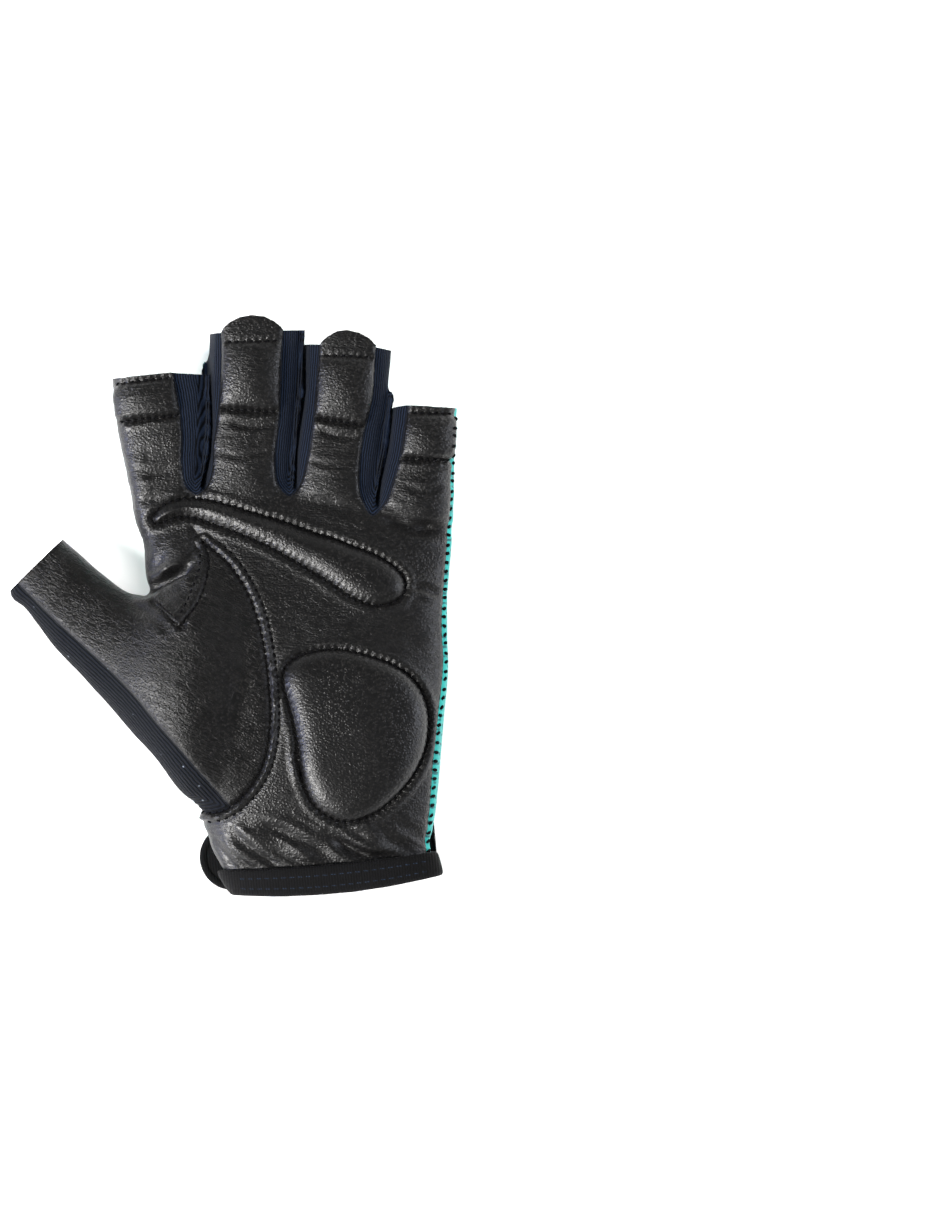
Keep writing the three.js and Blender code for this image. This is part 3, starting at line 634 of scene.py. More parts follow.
pieceNames = [
    "palm_panel", "thumb_panel", "thumb_knit", "back_panel", "fourchette_index_middle",
    "fourchette_middle_ring", "fourchette_ring_little", "knuckle_pad", "heel_pad", "thumb_gusset",
    "index_hem", "middle_cap", "ring_cap", "little_hem",
]
pieceCode = {name: k for k, name in enumerate(pieceNames)}


# The piece that each triangle belongs to, or -1 where it's trimmed away
def sortTriangles(points, triangles, values):
    at = {name: values[name][triangles].mean(axis=1) for name in values}
    middle = points[triangles].mean(axis=1)
    finger = fingerOf(middle)
    high = middle[:, 2] > levels["top"]
    piece = np.full(len(triangles), pieceCode["palm_panel"])
    for node, zone in (("knuckle_pad", "knuckle"), ("heel_pad", "heel")):
        piece[(at[zone] < 0) & high] = pieceCode[node]
    piece[at["back"] > 0] = pieceCode["back_panel"]
    inThumb = at["thumb"] < 0
    above = at["thumbLevel"] < 0
    piece[inThumb & above] = pieceCode["thumb_panel"]
    piece[inThumb & above & (at["thumbKnit"] < 0)] = pieceCode["thumb_knit"]
    under = (at["thumbUnder"] < 0) & ~above
    piece[under] = pieceCode["thumb_knit"]
    piece[inThumb & above & (at["gusset"] < 0) & high] = pieceCode["thumb_gusset"]
    leather = (piece == pieceCode["palm_panel"]) & (middle[:, 1] > 38)
    for k, cap in enumerate(capLines):
        piece[leather & (finger == k) & (at[cap["node"]] < 0)] = pieceCode[cap["node"]]
    for k in range(3):
        knit = (at[f"knit{k}"] < 0) & (at["knitBottom"] < 0)
        piece[knit] = pieceCode["fourchette_index_middle"] + k
    tongue = np.isin(piece, [pieceCode["middle_cap"], pieceCode["ring_cap"]])
    gone = np.where(tongue, at["dome"], at["end"]) > 0
    gone |= (at["hem"] > 0) | (at["thumbTip"] > 0)
    piece[gone] = -1
    return piece


# Which triangle lies across each side of each triangle
def neighboursOf(triangles):
    count = len(triangles)
    sides = np.sort(sidesOf(triangles), axis=1)
    code = sides[:, 0].astype(np.int64) * (triangles.max() + 1) + sides[:, 1]
    order = np.argsort(code, kind="stable")
    same = np.flatnonzero(code[order][:-1] == code[order][1:])
    a, b = order[same], order[same + 1]
    across = np.full(3 * count, -1)
    across[a], across[b] = b % count, a % count
    return across.reshape(3, count).T


# Hands a triangle over where two of its three neighbours agree on another piece
def tidied(piece, triangles, rounds=4):
    across = neighboursOf(triangles)
    for _ in range(rounds):
        around = np.where(across >= 0, piece[across], -2)
        for i, j in ((0, 1), (1, 2), (0, 2)):
            agree = (around[:, i] == around[:, j]) & (around[:, i] != piece) & (around[:, i] >= 0)
            piece = np.where(agree & (piece >= 0), around[:, i], piece)
    return piece


# Small patches cut off from their piece go to what surrounds them
def withoutScraps(piece, triangles, points, least=6.0):
    across = neighboursOf(triangles)
    group = np.arange(len(triangles))
    joined = (across >= 0) & (piece[across] == piece[:, None])
    for _ in range(400):
        lowest = np.where(joined, group[across], group[:, None]).min(axis=1)
        lowest = np.minimum(lowest, group)
        lowest = lowest[lowest]
        if np.array_equal(lowest, group):
            break
        group = lowest
    area = np.linalg.norm(crossOf(points, triangles), axis=1) / 2
    size = np.bincount(group, area, len(triangles))[group]
    for _ in range(60):
        small = np.flatnonzero((size < least) & (piece >= 0))
        if not len(small):
            break
        around = np.where((across[small] >= 0) & (size[across[small]] >= least), piece[across[small]], -2)
        best = around.max(axis=1)
        found = best > -2
        piece[small[found]] = best[found]
        size[small[found]] = least
        if not found.any():
            break
    return piece


skinPoints, skinTriangles = makeSkin()
print("skin:", len(skinPoints), "points", len(skinTriangles), "triangles")
edgeRows, edgePlaces = outerEdge(skinPoints)
outerSeam = (edgeRows, edgePlaces - np.interp(edgeRows, *backShows.T))
values = fields(skinPoints)
locked = np.zeros(len(skinPoints), bool)
for key in list(values):
    skinPoints, skinTriangles, values, locked = cutAlong(skinPoints, skinTriangles, values, locked, key)
piece = sortTriangles(skinPoints, skinTriangles, values)
piece = tidied(piece, skinTriangles)
piece = withoutScraps(piece, skinTriangles, skinPoints)
kept = piece >= 0
skinTriangles, piece = skinTriangles[kept], piece[kept]
print("pieces:", {name: int((piece == k).sum()) for name, k in pieceCode.items()})


# Relief: padding, stitched valleys, creases and slack in the leather

# Ridges and valleys along a sewn line: rise, distance from the line and half width
relief = {
    "padBrim": (0.4, 1.8, 0.9),
    "padStitch": (0.6, 0.0, 0.5),
    "padPucker": (0.23, 0.5, 0.8),
    "welt": (0.75, 1.15, 0.65),  # folded leather beside the thumb seam
    "seamStitch": (0.6, 0.0, 0.6),
    "seamRow": (0.45, 2.4, 0.5),
    "seamPucker": (0.23, 0.0, 1.4),
    "gussetStitch": (0.5, 0.0, 0.45),
    "gussetRow": (0.3, 0.0, 0.45),
    "gussetPucker": (0.1, 0.0, 0.8),
    "gussetFold": (0.9, 0.4, 1.0),
    "lowStitch": (0.6, 0.0, 0.7),  # across the fingertips
    "highStitch": (0.7, 0.0, 0.65),
    "tipBrim": (0.4, 1.7, 0.9),
    "tipPucker": (0.23, 0.0, 1.3),
    "knitEdge": (0.3, 0.0, 0.45),
    "backEdge": (0.4, 0.0, 0.7),
}
# Raised shapes: how high, and how soon beside the line
raised = {
    "pad": (2.5, 2.3), "padRoundness": 1.25, "mound": (0.55, 2.0), "moundReach": 5.0, "gusset": (0.35, 0.5),
    "gussetLip": (1.7, 1.8), "cap": (0.7, 0.5), "capPillow": (1.5, 1.8), "capKnit": 2.2,
    "knitSink": (0.45, 0.45), "leatherEdge": (0.25, 0.6), "leatherReach": 4.0,
}
puckerPitch = 2.0
# Folds: shares of the half width or of the length
folding = {"reach": 3.4, "lip": (0.35, 1.9, 0.9), "ends": 0.3, "atEnd": 0.15, "wobble": 0.25, "step": 0.9}
# Sides of the outline that stand a little fuller than the body: x, y, radius, rise
sideBulges = [
    (-60.8, 3.0, 3.2, 1.7), (-29.0, 42.0, 11.0, 0.9), (-27.0, 26.0, 11.0, 1.2), (60.0, 22.0, 12.0, 0.7),
    (-26.5, 5.5, 3.0, 0.9),
]
# Folds in the leather: line seen from above, depth and half width; an open one runs out over the side
creases = [
    {"line": [(-24.4, 3.6), (-22.4, 4.9), (-19.1, 6.9), (-14.5, 9.1), (-10.2, 11.2)],
     "deep": 2.9, "wide": 1.3, "open": True},
    {"line": [(-24.6, 3.2), (-22.3, 7.4), (-20.4, 12.0), (-20.0, 16.0)], "deep": 0.7, "wide": 1.5},
    {"line": [(-8.5, 18.1), (-10.4, 20.2), (-11.6, 22.6)], "deep": 0.6, "wide": 1.0},
    {"line": [(-13.2, 12.0), (-11.0, 15.0), (-9.4, 17.6)], "deep": 0.6, "wide": 1.2},
    {"line": [(17.5, 28.6), (24.0, 28.9), (31.0, 27.3), (38.0, 24.6)], "deep": 0.5, "wide": 1.8},
    {"line": [(39.5, 24.4), (45.0, 23.4), (51.0, 22.0), (60.0, 21.2)], "deep": 1.3, "wide": 1.9},
    {"line": [(41.0, 28.0), (47.0, 26.6), (54.0, 26.0)], "deep": 0.5, "wide": 1.0},
    {"line": [(47.8, 5.0), (52.0, 5.2), (56.0, 3.6), (59.0, 3.2)], "deep": 0.8, "wide": 1.0},
    {"line": [(30.0, -6.5), (40.0, -6.0), (48.0, -7.6), (56.0, -9.5)], "deep": 0.5, "wide": 3.2},
    {"line": [(4.6, -60.5), (12.7, -62.6), (19.7, -65.4), (29.7, -70.5)], "deep": 0.9, "wide": 1.7},
    {"line": [(26.6, -62.8), (31.0, -66.6), (36.5, -69.0), (45.1, -70.2)], "deep": 1.5, "wide": 1.4},
    {"line": [(-1.2, -60.0), (2.0, -64.6), (7.2, -68.9), (14.7, -73.0)], "deep": 0.8, "wide": 1.3},
    {"line": [(-5.7, -62.4), (-2.4, -68.2), (0.9, -73.5)], "deep": 0.6, "wide": 1.0},
    {"line": [(-1.5, -66.5), (2.8, -70.8), (7.0, -74.0)], "deep": 0.45, "wide": 0.8},
    {"line": [(8.0, -66.0), (16.0, -70.4), (24.0, -72.6)], "deep": 0.4, "wide": 0.9},
    {"line": [(40.0, -62.0), (45.0, -65.5), (51.0, -66.8)], "deep": 0.4, "wide": 1.6},
    {"line": [(17.2, -38.0), (18.0, -43.5), (19.8, -49.6)], "deep": 0.8, "wide": 0.8},
    {"line": [(-3.4, 52.0), (3.0, 49.9), (9.0, 50.2), (12.4, 51.8)], "deep": 0.5, "wide": 0.9},
    {"line": [(22.6, 49.4), (29.0, 47.0), (35.6, 47.2)], "deep": 0.5, "wide": 0.9},
    {"line": [(-4.6, 42.4), (2.0, 41.4), (9.0, 42.6), (12.0, 42.0)], "deep": 0.35, "wide": 0.9},
    {"line": [(20.4, 40.4), (27.0, 39.0), (33.0, 39.6)], "deep": 0.35, "wide": 0.9},
    {"line": [(-29.0, 38.0), (-23.0, 36.8), (-16.0, 38.2)], "deep": 0.4, "wide": 1.2},
    {"line": [(-27.5, 30.2), (-21.0, 29.4), (-16.4, 31.0)], "deep": 0.35, "wide": 1.3},
    {"line": [(46.5, 33.4), (52.0, 31.8), (59.5, 33.0)], "deep": 0.4, "wide": 1.1},
    {"line": [(-25.5, 21.0), (-23.5, 14.0), (-23.0, 8.0)], "deep": 0.5, "wide": 1.4},
    {"line": [(-16.0, -8.0), (-22.0, -3.0), (-29.0, 0.8)], "deep": 0.45, "wide": 1.4},
]
# Places where the leather stands full: x, y, radius, rise
bulges = [
    (-17.0, 14.0, 7.0, 1.5),
    (-16.5, 46.0, 7.0, 0.5),
    (4.5, 64.0, 7.0, 1.0),
    (30.5, 61.0, 7.0, 1.0),
    (54.0, 46.0, 6.0, 0.5),
    (4.4, 38.0, 7.0, 0.7),
    (28.1, 36.0, 7.0, 0.7),
    (52.0, 29.6, 6.0, 0.7),
    (2.0, -66.0, 5.0, 0.7),
    (20.0, -67.0, 5.0, 0.8),
    (38.0, -65.5, 4.5, 0.8),
    (-14.0, -4.0, 5.0, 0.6),
    (3.0, -36.0, 4.5, 1.0),
    (0.5, -44.0, 4.5, 1.1),
    (-2.5, -50.0, 4.5, 0.9),
    (5.5, -28.0, 4.0, 0.7),
    (6.0, -20.0, 3.5, 0.55),
    (6.0, -11.0, 3.0, 0.4),
]


# Smooth noise on a lattice, from -1 to 1
def softNoise(points, size, seed):
    places = points / np.asarray(size, float) + 31.7 * seed
    cell = np.floor(places).astype(np.int64)
    part = places - cell
    part = part * part * (3 - 2 * part)
    total = np.zeros(len(points))
    for corner in range(8):
        bits = [(corner >> k) & 1 for k in range(3)]
        key = sum((cell[:, k] + bits[k]) * prime for k, prime in enumerate((73856093, 19349663, 83492791)))
        key = (key ^ (key >> 13)) * 1274126177 & 0x7FFFFFFF
        key = (key ^ (key >> 15)) * 668265263 & 0x7FFFFFFF
        weight = np.prod([part[:, k] if bits[k] else 1 - part[:, k] for k in range(3)], axis=0)
        total += weight * ((key % 65536) / 32768.0 - 1.0)
    return total


# Plan distance from a line for the points near it: their indices, distances, ways and sides
def nearLine(points, line, reach, least=-1.0):
    line = np.asarray(line, float)
    low, high = line.min(axis=0) - reach, line.max(axis=0) + reach
    near = np.flatnonzero(
        np.all((points[:, :2] > low) & (points[:, :2] < high), axis=1) & (points[:, 2] > least)
    )
    distance, way, side = fromLine(points[near], line)
    close = distance < reach
    return near[close], distance[close], way[close], side[close]


def seamEdges(triangles, piece):
    across = neighboursOf(triangles)
    found = []
    for k in range(3):
        here = np.flatnonzero((across[:, k] >= 0) & (across[:, k] > np.arange(len(triangles))))
        here = here[piece[here] != piece[across[here, k]]]
        a, b = triangles[here, k], triangles[here, (k + 1) % 3]
        found.append(np.column_stack([a, b, piece[here], piece[across[here, k]]]))
    return np.vstack(found)


def distanceTo(points, targets, limit):
    tree = KDTree(len(targets))
    for k, target in enumerate(targets):
        tree.insert(target, k)
    tree.balance()
    low, high = targets.min(axis=0) - limit, targets.max(axis=0) + limit
    result = np.full(len(points), limit)
    for i in np.flatnonzero(np.all((points > low) & (points < high), axis=1)):
        result[i] = min(tree.find(points[i])[2], limit)
    return result


def seamPoints(points, seams, chosen):
    a, b = points[seams[chosen, 0]], points[seams[chosen, 1]]
    return np.vstack([a, b, (a + b) / 2])


def bump(distance, wide):
    return np.exp(-((distance / wide) ** 2))


def ridge(away, rise, middle, wide):
    return rise * bump(away - middle, wide)


def shoulder(away, wide):
    return 1 - np.exp(-away / wide)


def closedLine(outline):
    return np.vstack([outline, outline[:1]])


knits = [pieceCode[name] for name in pieceNames if name.startswith("fourchette")] + [pieceCode["thumb_knit"]]
capCodes = [pieceCode[cap["node"]] for cap in capLines]
normals = normalsOf(skinPoints, skinTriangles)
for _ in range(3):
    normals = averaged(normals, edgeTable(skinTriangles), len(skinPoints))
    normals /= np.maximum(np.linalg.norm(normals, axis=1), 1e-9)[:, None]
seams = seamEdges(skinTriangles, piece)
pairIsKnit = np.isin(seams[:, 2:], knits)
isBack = (seams[:, 2:] == pieceCode["back_panel"]).any(axis=1)
knitSeamPoints = seamPoints(skinPoints, seams, pairIsKnit.any(axis=1) & ~isBack)
# far knit gets its distance too, since the ribs run along it
reach = {"near": 12.0, "far": 60.0, "back": 6.0}
knitDistance = distanceTo(skinPoints, knitSeamPoints, reach["near"])
backDistance = distanceTo(skinPoints, seamPoints(skinPoints, seams, isBack), reach["back"])
ofKnit = np.zeros(len(skinPoints))
count = np.zeros(len(skinPoints))
for k in range(3):
    ofKnit += np.bincount(skinTriangles[:, k], np.isin(piece, knits), len(skinPoints))
    count += np.bincount(skinTriangles[:, k], minlength=len(skinPoints))
ofKnit = np.where(count > 0, ofKnit / np.maximum(count, 1), 0)
farKnit = np.flatnonzero((ofKnit > 0) & (knitDistance > reach["near"] - 0.1))
knitDistance[farKnit] = distanceTo(skinPoints[farKnit], knitSeamPoints, reach["far"])


def raisePads(points, rise):
    height, wide = raised["pad"]
    for outline, key in ((knuckleOutline, "knuckle"), (heelOutline, "heel")):
        near, away, way, _ = nearLine(points, closedLine(outline), 25.0, levels["top"])
        crown = height * (1 - np.exp(-((away / wide) ** raised["padRoundness"])))
        rise[near] += np.where(values[key][near] < 0, crown, ridge(away, *relief["padBrim"]))
        rise[near] -= ridge(away, *relief["padStitch"])
        rise[near] -= ridge(away, *relief["padPucker"]) * np.cos(2 * np.pi * way / puckerPitch)


def shapeThumbSeam(points, rise):
    near, away, way, _ = nearLine(points, thumbSeam, 18.0, 3.0)
    palmSide = values["thumb"][near] > 0
    height, wide = raised["mound"]
    seam = np.where(palmSide, ridge(away, *relief["welt"]), 0)
    seam -= ridge(away, *relief["seamStitch"]) + np.where(palmSide, ridge(away, *relief["seamRow"]), 0)
    seam += np.where(palmSide, 0, height * shoulder(away, wide) * np.exp(-away / raised["moundReach"]))
    seam -= ridge(away, *relief["seamPucker"]) * np.cos(2 * np.pi * way / puckerPitch)
    onTop = np.clip((points[near, 2] - 9.0) / 4.0, 0, 1)
    rise[near] += seam * onTop * np.clip((way.max() - way) / 3.0, 0.3, 1)


def shapeGusset(points, rise):
    near, away, _, _ = nearLine(points, gussetOutline, 3.0, levels["top"])
    height, wide = raised["gusset"]
    up = np.where(values["gusset"][near] < 0, height * shoulder(away, wide), 0)
    rise[near] += up - ridge(away, *relief["gussetStitch"])
    near, away, way, _ = nearLine(points, gussetInner, 1.6, levels["top"])
    rise[near] -= ridge(away, *relief["gussetRow"])
    rise[near] -= ridge(away, *relief["gussetPucker"]) * np.cos(np.pi * way)
    near, away, _, _ = nearLine(points, gussetLip, 6.0, levels["top"])
    height, wide = raised["gussetLip"]
    lip = height * np.exp(-away / wide)
    rise[near] += np.where(values["gusset"][near] < 0, lip, -ridge(away, *relief["gussetFold"]))


# The doubled leather of the fingertips, full between its two stitch lines
def shapeCaps(points, rise, upward):
    finger = fingerOf(points)
    leather = (points[:, 1] > 38) & (points[:, 2] > levels["top"] - 1.0) & (ofKnit < 0.5)
    knitShare = np.clip(knitDistance / 1.2, 0, 1)
    facing = 0.3 + 0.7 * upward
    for k, cap in enumerate(capLines):
        apart, inner = {}, {}
        for line in ("low", "high"):
            near, away, way, side = nearLine(points, cap[line], 30.0, levels["top"] - 1)
            use = (leather & (finger == k))[near]
            near, away, way, side = near[use], away[use], way[use], side[use]
            if line == "low":
                height, wide = raised["cap"]
                rise[near] += np.where(side > 0, height * shoulder(away, wide), 0) * upward[near]
            rise[near] -= ridge(away, *relief[line + "Stitch"]) * knitShare[near] * facing[near]
            if line == "low":
                rise[near] += np.where(side > 0, 0, ridge(away, *relief["tipBrim"])) * upward[near]
            rise[near] -= ridge(away, *relief["tipPucker"]) * np.cos(np.pi * way) * upward[near]
            apart[line] = np.zeros(len(points))
            apart[line][near] = away
            inner[line] = near[side > 0 if line == "low" else side < 0]
        between = np.intersect1d(inner["low"], inner["high"])
        height, wide = raised["capPillow"]
        pillow = shoulder(np.minimum(apart["low"], apart["high"])[between], wide)
        pillow *= shoulder(knitDistance[between], raised["capKnit"])
        rise[between] += height * pillow * upward[between]


# Leather is folded over at the knit, the knit lies lower, and the back is sewn under
def shapeEdges(rise):
    height, wide = raised["knitSink"]
    knitRise = -height * shoulder(knitDistance, wide)
    height, wide = raised["leatherEdge"]
    fading = np.exp(-knitDistance / raised["leatherReach"])
    leatherRise = height * shoulder(knitDistance, wide) * fading
    own = np.where(ofKnit > 0.5, knitRise, np.where(ofKnit > 0, 0, leatherRise))
    rise += own - ridge(knitDistance, *relief["knitEdge"])
    rise -= ridge(backDistance, *relief["backEdge"])


def pressFolds(points, rise, upward):
    lip, lipWay, lipWide = folding["lip"]
    atEnd = folding["atEnd"]
    for crease in creases:
        line = smoothLine(crease["line"], folding["step"])
        wide = crease["wide"]
        near, away, way, _ = nearLine(points, line, folding["reach"] * wide, 5.0)
        whole = float(np.linalg.norm(np.diff(line, axis=0), axis=1).sum())
        left = whole if crease.get("open") else way
        fade = np.clip(np.minimum(left, whole - way) / (folding["ends"] * whole), 0.0, 1.0)
        fade = atEnd + (1 - atEnd) * fade * fade * (3 - 2 * fade)
        if crease.get("open"):
            fade *= atEnd + (1 - atEnd) * upward[near]
        wobble = 1 + folding["wobble"] * softNoise(points[near], 4.0, 5)
        profile = bump(away, wide) - ridge(away, lip, lipWay * wide, lipWide * wide)
        rise[near] -= crease["deep"] * fade * wobble * profile


def fillOut(points, rise):
    x, y, z = points.T
    leather = (z > levels["top"] - 1.0) & (ofKnit < 0.5)
    outward = np.clip(np.abs(normals[:, 0]) * 1.4 - 0.2, 0, 1) * (z > 2.0)
    for places, share in ((bulges, leather), (sideBulges, outward)):
        for bx, by, radius, up in places:
            rise += up * bump(np.hypot(x - bx, y - by), radius) * share


def makeRelief(points):
    rise = np.zeros(len(points))
    upward = np.clip((normals[:, 2] - 0.2) / 0.5, 0, 1)
    raisePads(points, rise)
    shapeThumbSeam(points, rise)
    shapeGusset(points, rise)
    shapeCaps(points, rise, upward)
    shapeEdges(rise)
    pressFolds(points, rise, upward)
    fillOut(points, rise)
    return rise


# Folds of one direction, as low ridges with sharp tops
def foldsAlong(points, long, short, seed, degrees=0.0):
    x, y, z = points.T
    turn = math.radians(degrees)
    turned = np.column_stack([
        x * math.cos(turn) + y * math.sin(turn), -x * math.sin(turn) + y * math.cos(turn), z
    ])
    return np.clip(1 - np.abs(softNoise(turned, (long, short, long), seed)) * 2.2, -0.5, 1)


slack = {"broad": 0.35, "middling": 0.18, "fingers": 0.2, "mound": 0.2, "wrist": 0.35}


def makeSlack(points):
    x, y, z = points.T
    high = np.clip((z - 6.0) / 4.0, 0, 1)
    soft = slack["broad"] * softNoise(points, 17.0, 1) + slack["middling"] * softNoise(points, 8.0, 2)
    # short cross folds on the fingers, and slanting ones over the thumb's mound and at the wrist
    onFingers = np.clip((y - 24.0) / 8.0, 0, 1)
    patches = np.clip(0.5 + softNoise(points, 10.0, 4), 0, 1)
    folds = slack["fingers"] * onFingers * foldsAlong(points, 11.0, 2.4, 3) * patches
    onMound = bump(np.hypot(x + 8.0, y + 20.0), 24.0)
    patches = np.clip(0.5 + softNoise(points, 9.0, 7), 0, 1)
    folds += slack["mound"] * onMound * foldsAlong(points, 9.0, 1.9, 6, -24) * patches
    atWrist = np.clip((-56.0 - y) / 6.0, 0, 1)
    folds += slack["wrist"] * atWrist * foldsAlong(points, 14.0, 2.8, 8, -32)
    hemFade = np.clip((alongHem(points) - 4.0) / 5.0, 0, 1)
    return (soft + folds * (1 - ofKnit)) * high * hemFade


rise = makeRelief(skinPoints) + makeSlack(skinPoints)
outerPoints = skinPoints + normals * rise[:, None]
outerPoints[:, 2] = np.maximum(outerPoints[:, 2], 0.0)
outerPoints = smoothed(outerPoints, skinTriangles, 1, 0.35)
print("relief:", round(float(rise.min()), 2), "to", round(float(rise.max()), 2), "mm")


# Finishes

def linear(code):
    parts = [int(code[k:k + 2], 16) / 255 for k in (1, 3, 5)]
    return tuple(p / 12.92 if p <= 0.04045 else ((p + 0.055) / 1.055) ** 2.4 for p in parts) + (1.0,)


# Adds a node; an input given as another node's socket is linked, any other is set
def add(tree, kind, inputs=None, **settings):
    made = tree.nodes.new(kind)
    for key, value in settings.items():
        setattr(made, key, value)
    for key, value in (inputs or {}).items():
        if isinstance(value, bpy.types.NodeSocket):
            tree.links.new(value, made.inputs[key])
        else:
            made.inputs[key].default_value = value
    return made


def sumOf(tree, operation, *values):
    return add(tree, "ShaderNodeMath", dict(enumerate(values)), operation=operation).outputs[0]


def vectorOf(tree, operation, *values):
    return add(tree, "ShaderNodeVectorMath", dict(enumerate(values)), operation=operation).outputs[0]


# Brings a value from one range into another
def ranged(tree, value, low, high, first, last, form="LINEAR"):
    inputs = dict(enumerate((value, low, high, first, last)))
    return add(tree, "ShaderNodeMapRange", inputs, interpolation_type=form).outputs[0]


def noise(tree, places, scale, detail=2.0, rough=0.5):
    inputs = {"Vector": places, "Scale": scale, "Detail": detail, "Roughness": rough}
    return add(tree, "ShaderNodeTexNoise", inputs).outputs


def cellsOf(tree, places, scale, key, value, feature="F1"):
    inputs = {"Vector": places, "Scale": scale, key: value}
    return add(tree, "ShaderNodeTexVoronoi", inputs, feature=feature).outputs["Distance"]


def bands(tree, places, direction, **inputs):
    inputs = {"Vector": places, **inputs}
    return add(tree, "ShaderNodeTexWave", inputs, wave_type="BANDS", bands_direction=direction).outputs["Fac"]


def blended(tree, share, dark, light):
    return add(tree, "ShaderNodeMix", {0: share, 6: dark, 7: light}, data_type="RGBA").outputs[2]


# An empty material with its places in millimetres
def emptyMaterial(name):
    material = bpy.data.materials.new(name)
    material.use_nodes = True
    tree = material.node_tree
    tree.nodes.clear()
    places = add(tree, "ShaderNodeTexCoord").outputs["Object"]
    return material, tree, vectorOf(tree, "MULTIPLY", places, (1 / mm, 1 / mm, 1 / mm))


# The surface itself; the height that roughens it is in millimetres
def finished(tree, look, colour, height, rough=None, **more):
    relieved = add(tree, "ShaderNodeBump", {"Strength": look["relief"], "Distance": mm, "Height": height})
    shader = add(tree, "ShaderNodeBsdfPrincipled", {
        "Base Color": colour, "Roughness": look["rough"] if rough is None else rough, "IOR": look["ior"],
        "Specular IOR Level": more.get("shine", 0.5), "Sheen Weight": look.get("sheen", 0.0),
        "Sheen Roughness": look.get("sheenRough", 0.5), "Normal": relieved.outputs[0],
    })
    add(tree, "ShaderNodeOutputMaterial", {"Surface": shader.outputs[0]})


# Drum-dyed goatskin: black with a fine pebble, satin where it's stretched, dull in the folds
goatskin = {
    "dark": "#050505",
    "light": "#131211",
    "pebble": 0.75,  # millimetres, as are the depths and the wrinkle
    "pebbleDepth": 0.088,
    "pulledFlat": 0.45,  # share of the depth that is left where the skin is pulled
    "creaseDepth": 0.07,
    "grainDepth": 0.018,
    "wrinkle": (4.2, 1.15, 2.0),
    "waver": 0.5,
    "roughLow": 0.35,
    "roughHigh": 0.47,
    "relief": 1.0,
    "ior": 1.5,
}


def makeGoatskin(name, turn, crease, pebbles=1.0, shine=0.5):
    material, tree, places = emptyMaterial(name)
    wavering = vectorOf(tree, "MULTIPLY", noise(tree, places, 0.5)["Color"], (goatskin["waver"],) * 3)
    shifted = vectorOf(tree, "ADD", places, wavering)
    cells = cellsOf(tree, shifted, 1 / goatskin["pebble"], "Smoothness", 0.3, "SMOOTH_F1")
    pebble = ranged(tree, cells, 0.08, 0.6, 1.0, 0.0, "SMOOTHSTEP")
    # fine wrinkles across the pull of the leather
    across = {"Vector": shifted, "Rotation": (0, 0, math.radians(turn)), "Scale": goatskin["wrinkle"]}
    turned = add(tree, "ShaderNodeMapping", across, vector_type="TEXTURE").outputs[0]
    folds = sumOf(tree, "SUBTRACT", noise(tree, turned, 1.0, 3.0, 0.6)[0], 0.5)
    ridge = ranged(tree, sumOf(tree, "ABSOLUTE", folds), 0.0, 0.1, 0.0, 1.0, "SMOOTHSTEP")
    grain = noise(tree, places, 3.5)[0]
    # where the pebble is strong and where it's pulled flat
    where = noise(tree, places, 0.06)[0]
    deep = goatskin["pebbleDepth"] * pebbles
    patchy = ranged(tree, where, 0.35, 0.62, goatskin["pulledFlat"] * deep, deep)
    deep = goatskin["creaseDepth"] * crease
    creased = ranged(tree, where, 0.4, 0.65, deep, 0.4 * deep)
    height = sumOf(tree, "MULTIPLY", ridge, creased)
    height = sumOf(tree, "MULTIPLY_ADD", pebble, patchy, height)
    height = sumOf(tree, "MULTIPLY_ADD", grain, goatskin["grainDepth"], height)
    # The pebble tops are painted lighter and the grooves between them darker: partly rubbed wear on the tops,
    # partly painted shade in the grooves
    tone = ranged(tree, sumOf(tree, "MULTIPLY", pebble, where), 0.0, 0.55, 0.0, 1.0)
    colour = blended(tree, tone, linear(goatskin["dark"]), linear(goatskin["light"]))
    rough = ranged(tree, grain, 0.3, 0.7, goatskin["roughLow"], goatskin["roughHigh"])
    finished(tree, goatskin, colour, height, rough, shine=shine)
    return material


# Ribbed stretch knit, nylon over elastane: navy-black and matt, with ribs along its seams
# The ridge colours are painted lighter than the near-black valley colour: painted shade between the ribs. The
# coarse ridge, for the thumb's strip that catches more light, is painted darker still: painted shade.
ribKnit = {
    # the pale speck colour below is a painted glint
    "valley": "#000103", "fineRidge": "#101826", "coarseRidge": "#090d15", "glintPaint": "#9aa4b0",
    "finePitch": 0.75, "coarsePitch": 1.05, "loop": 0.5, "ribDepth": 0.3, "loopDepth": -0.12, "fuzz": 0.06,
    "relief": 0.9, "rough": 0.9, "ior": 1.3, "sheen": 0.01,
}


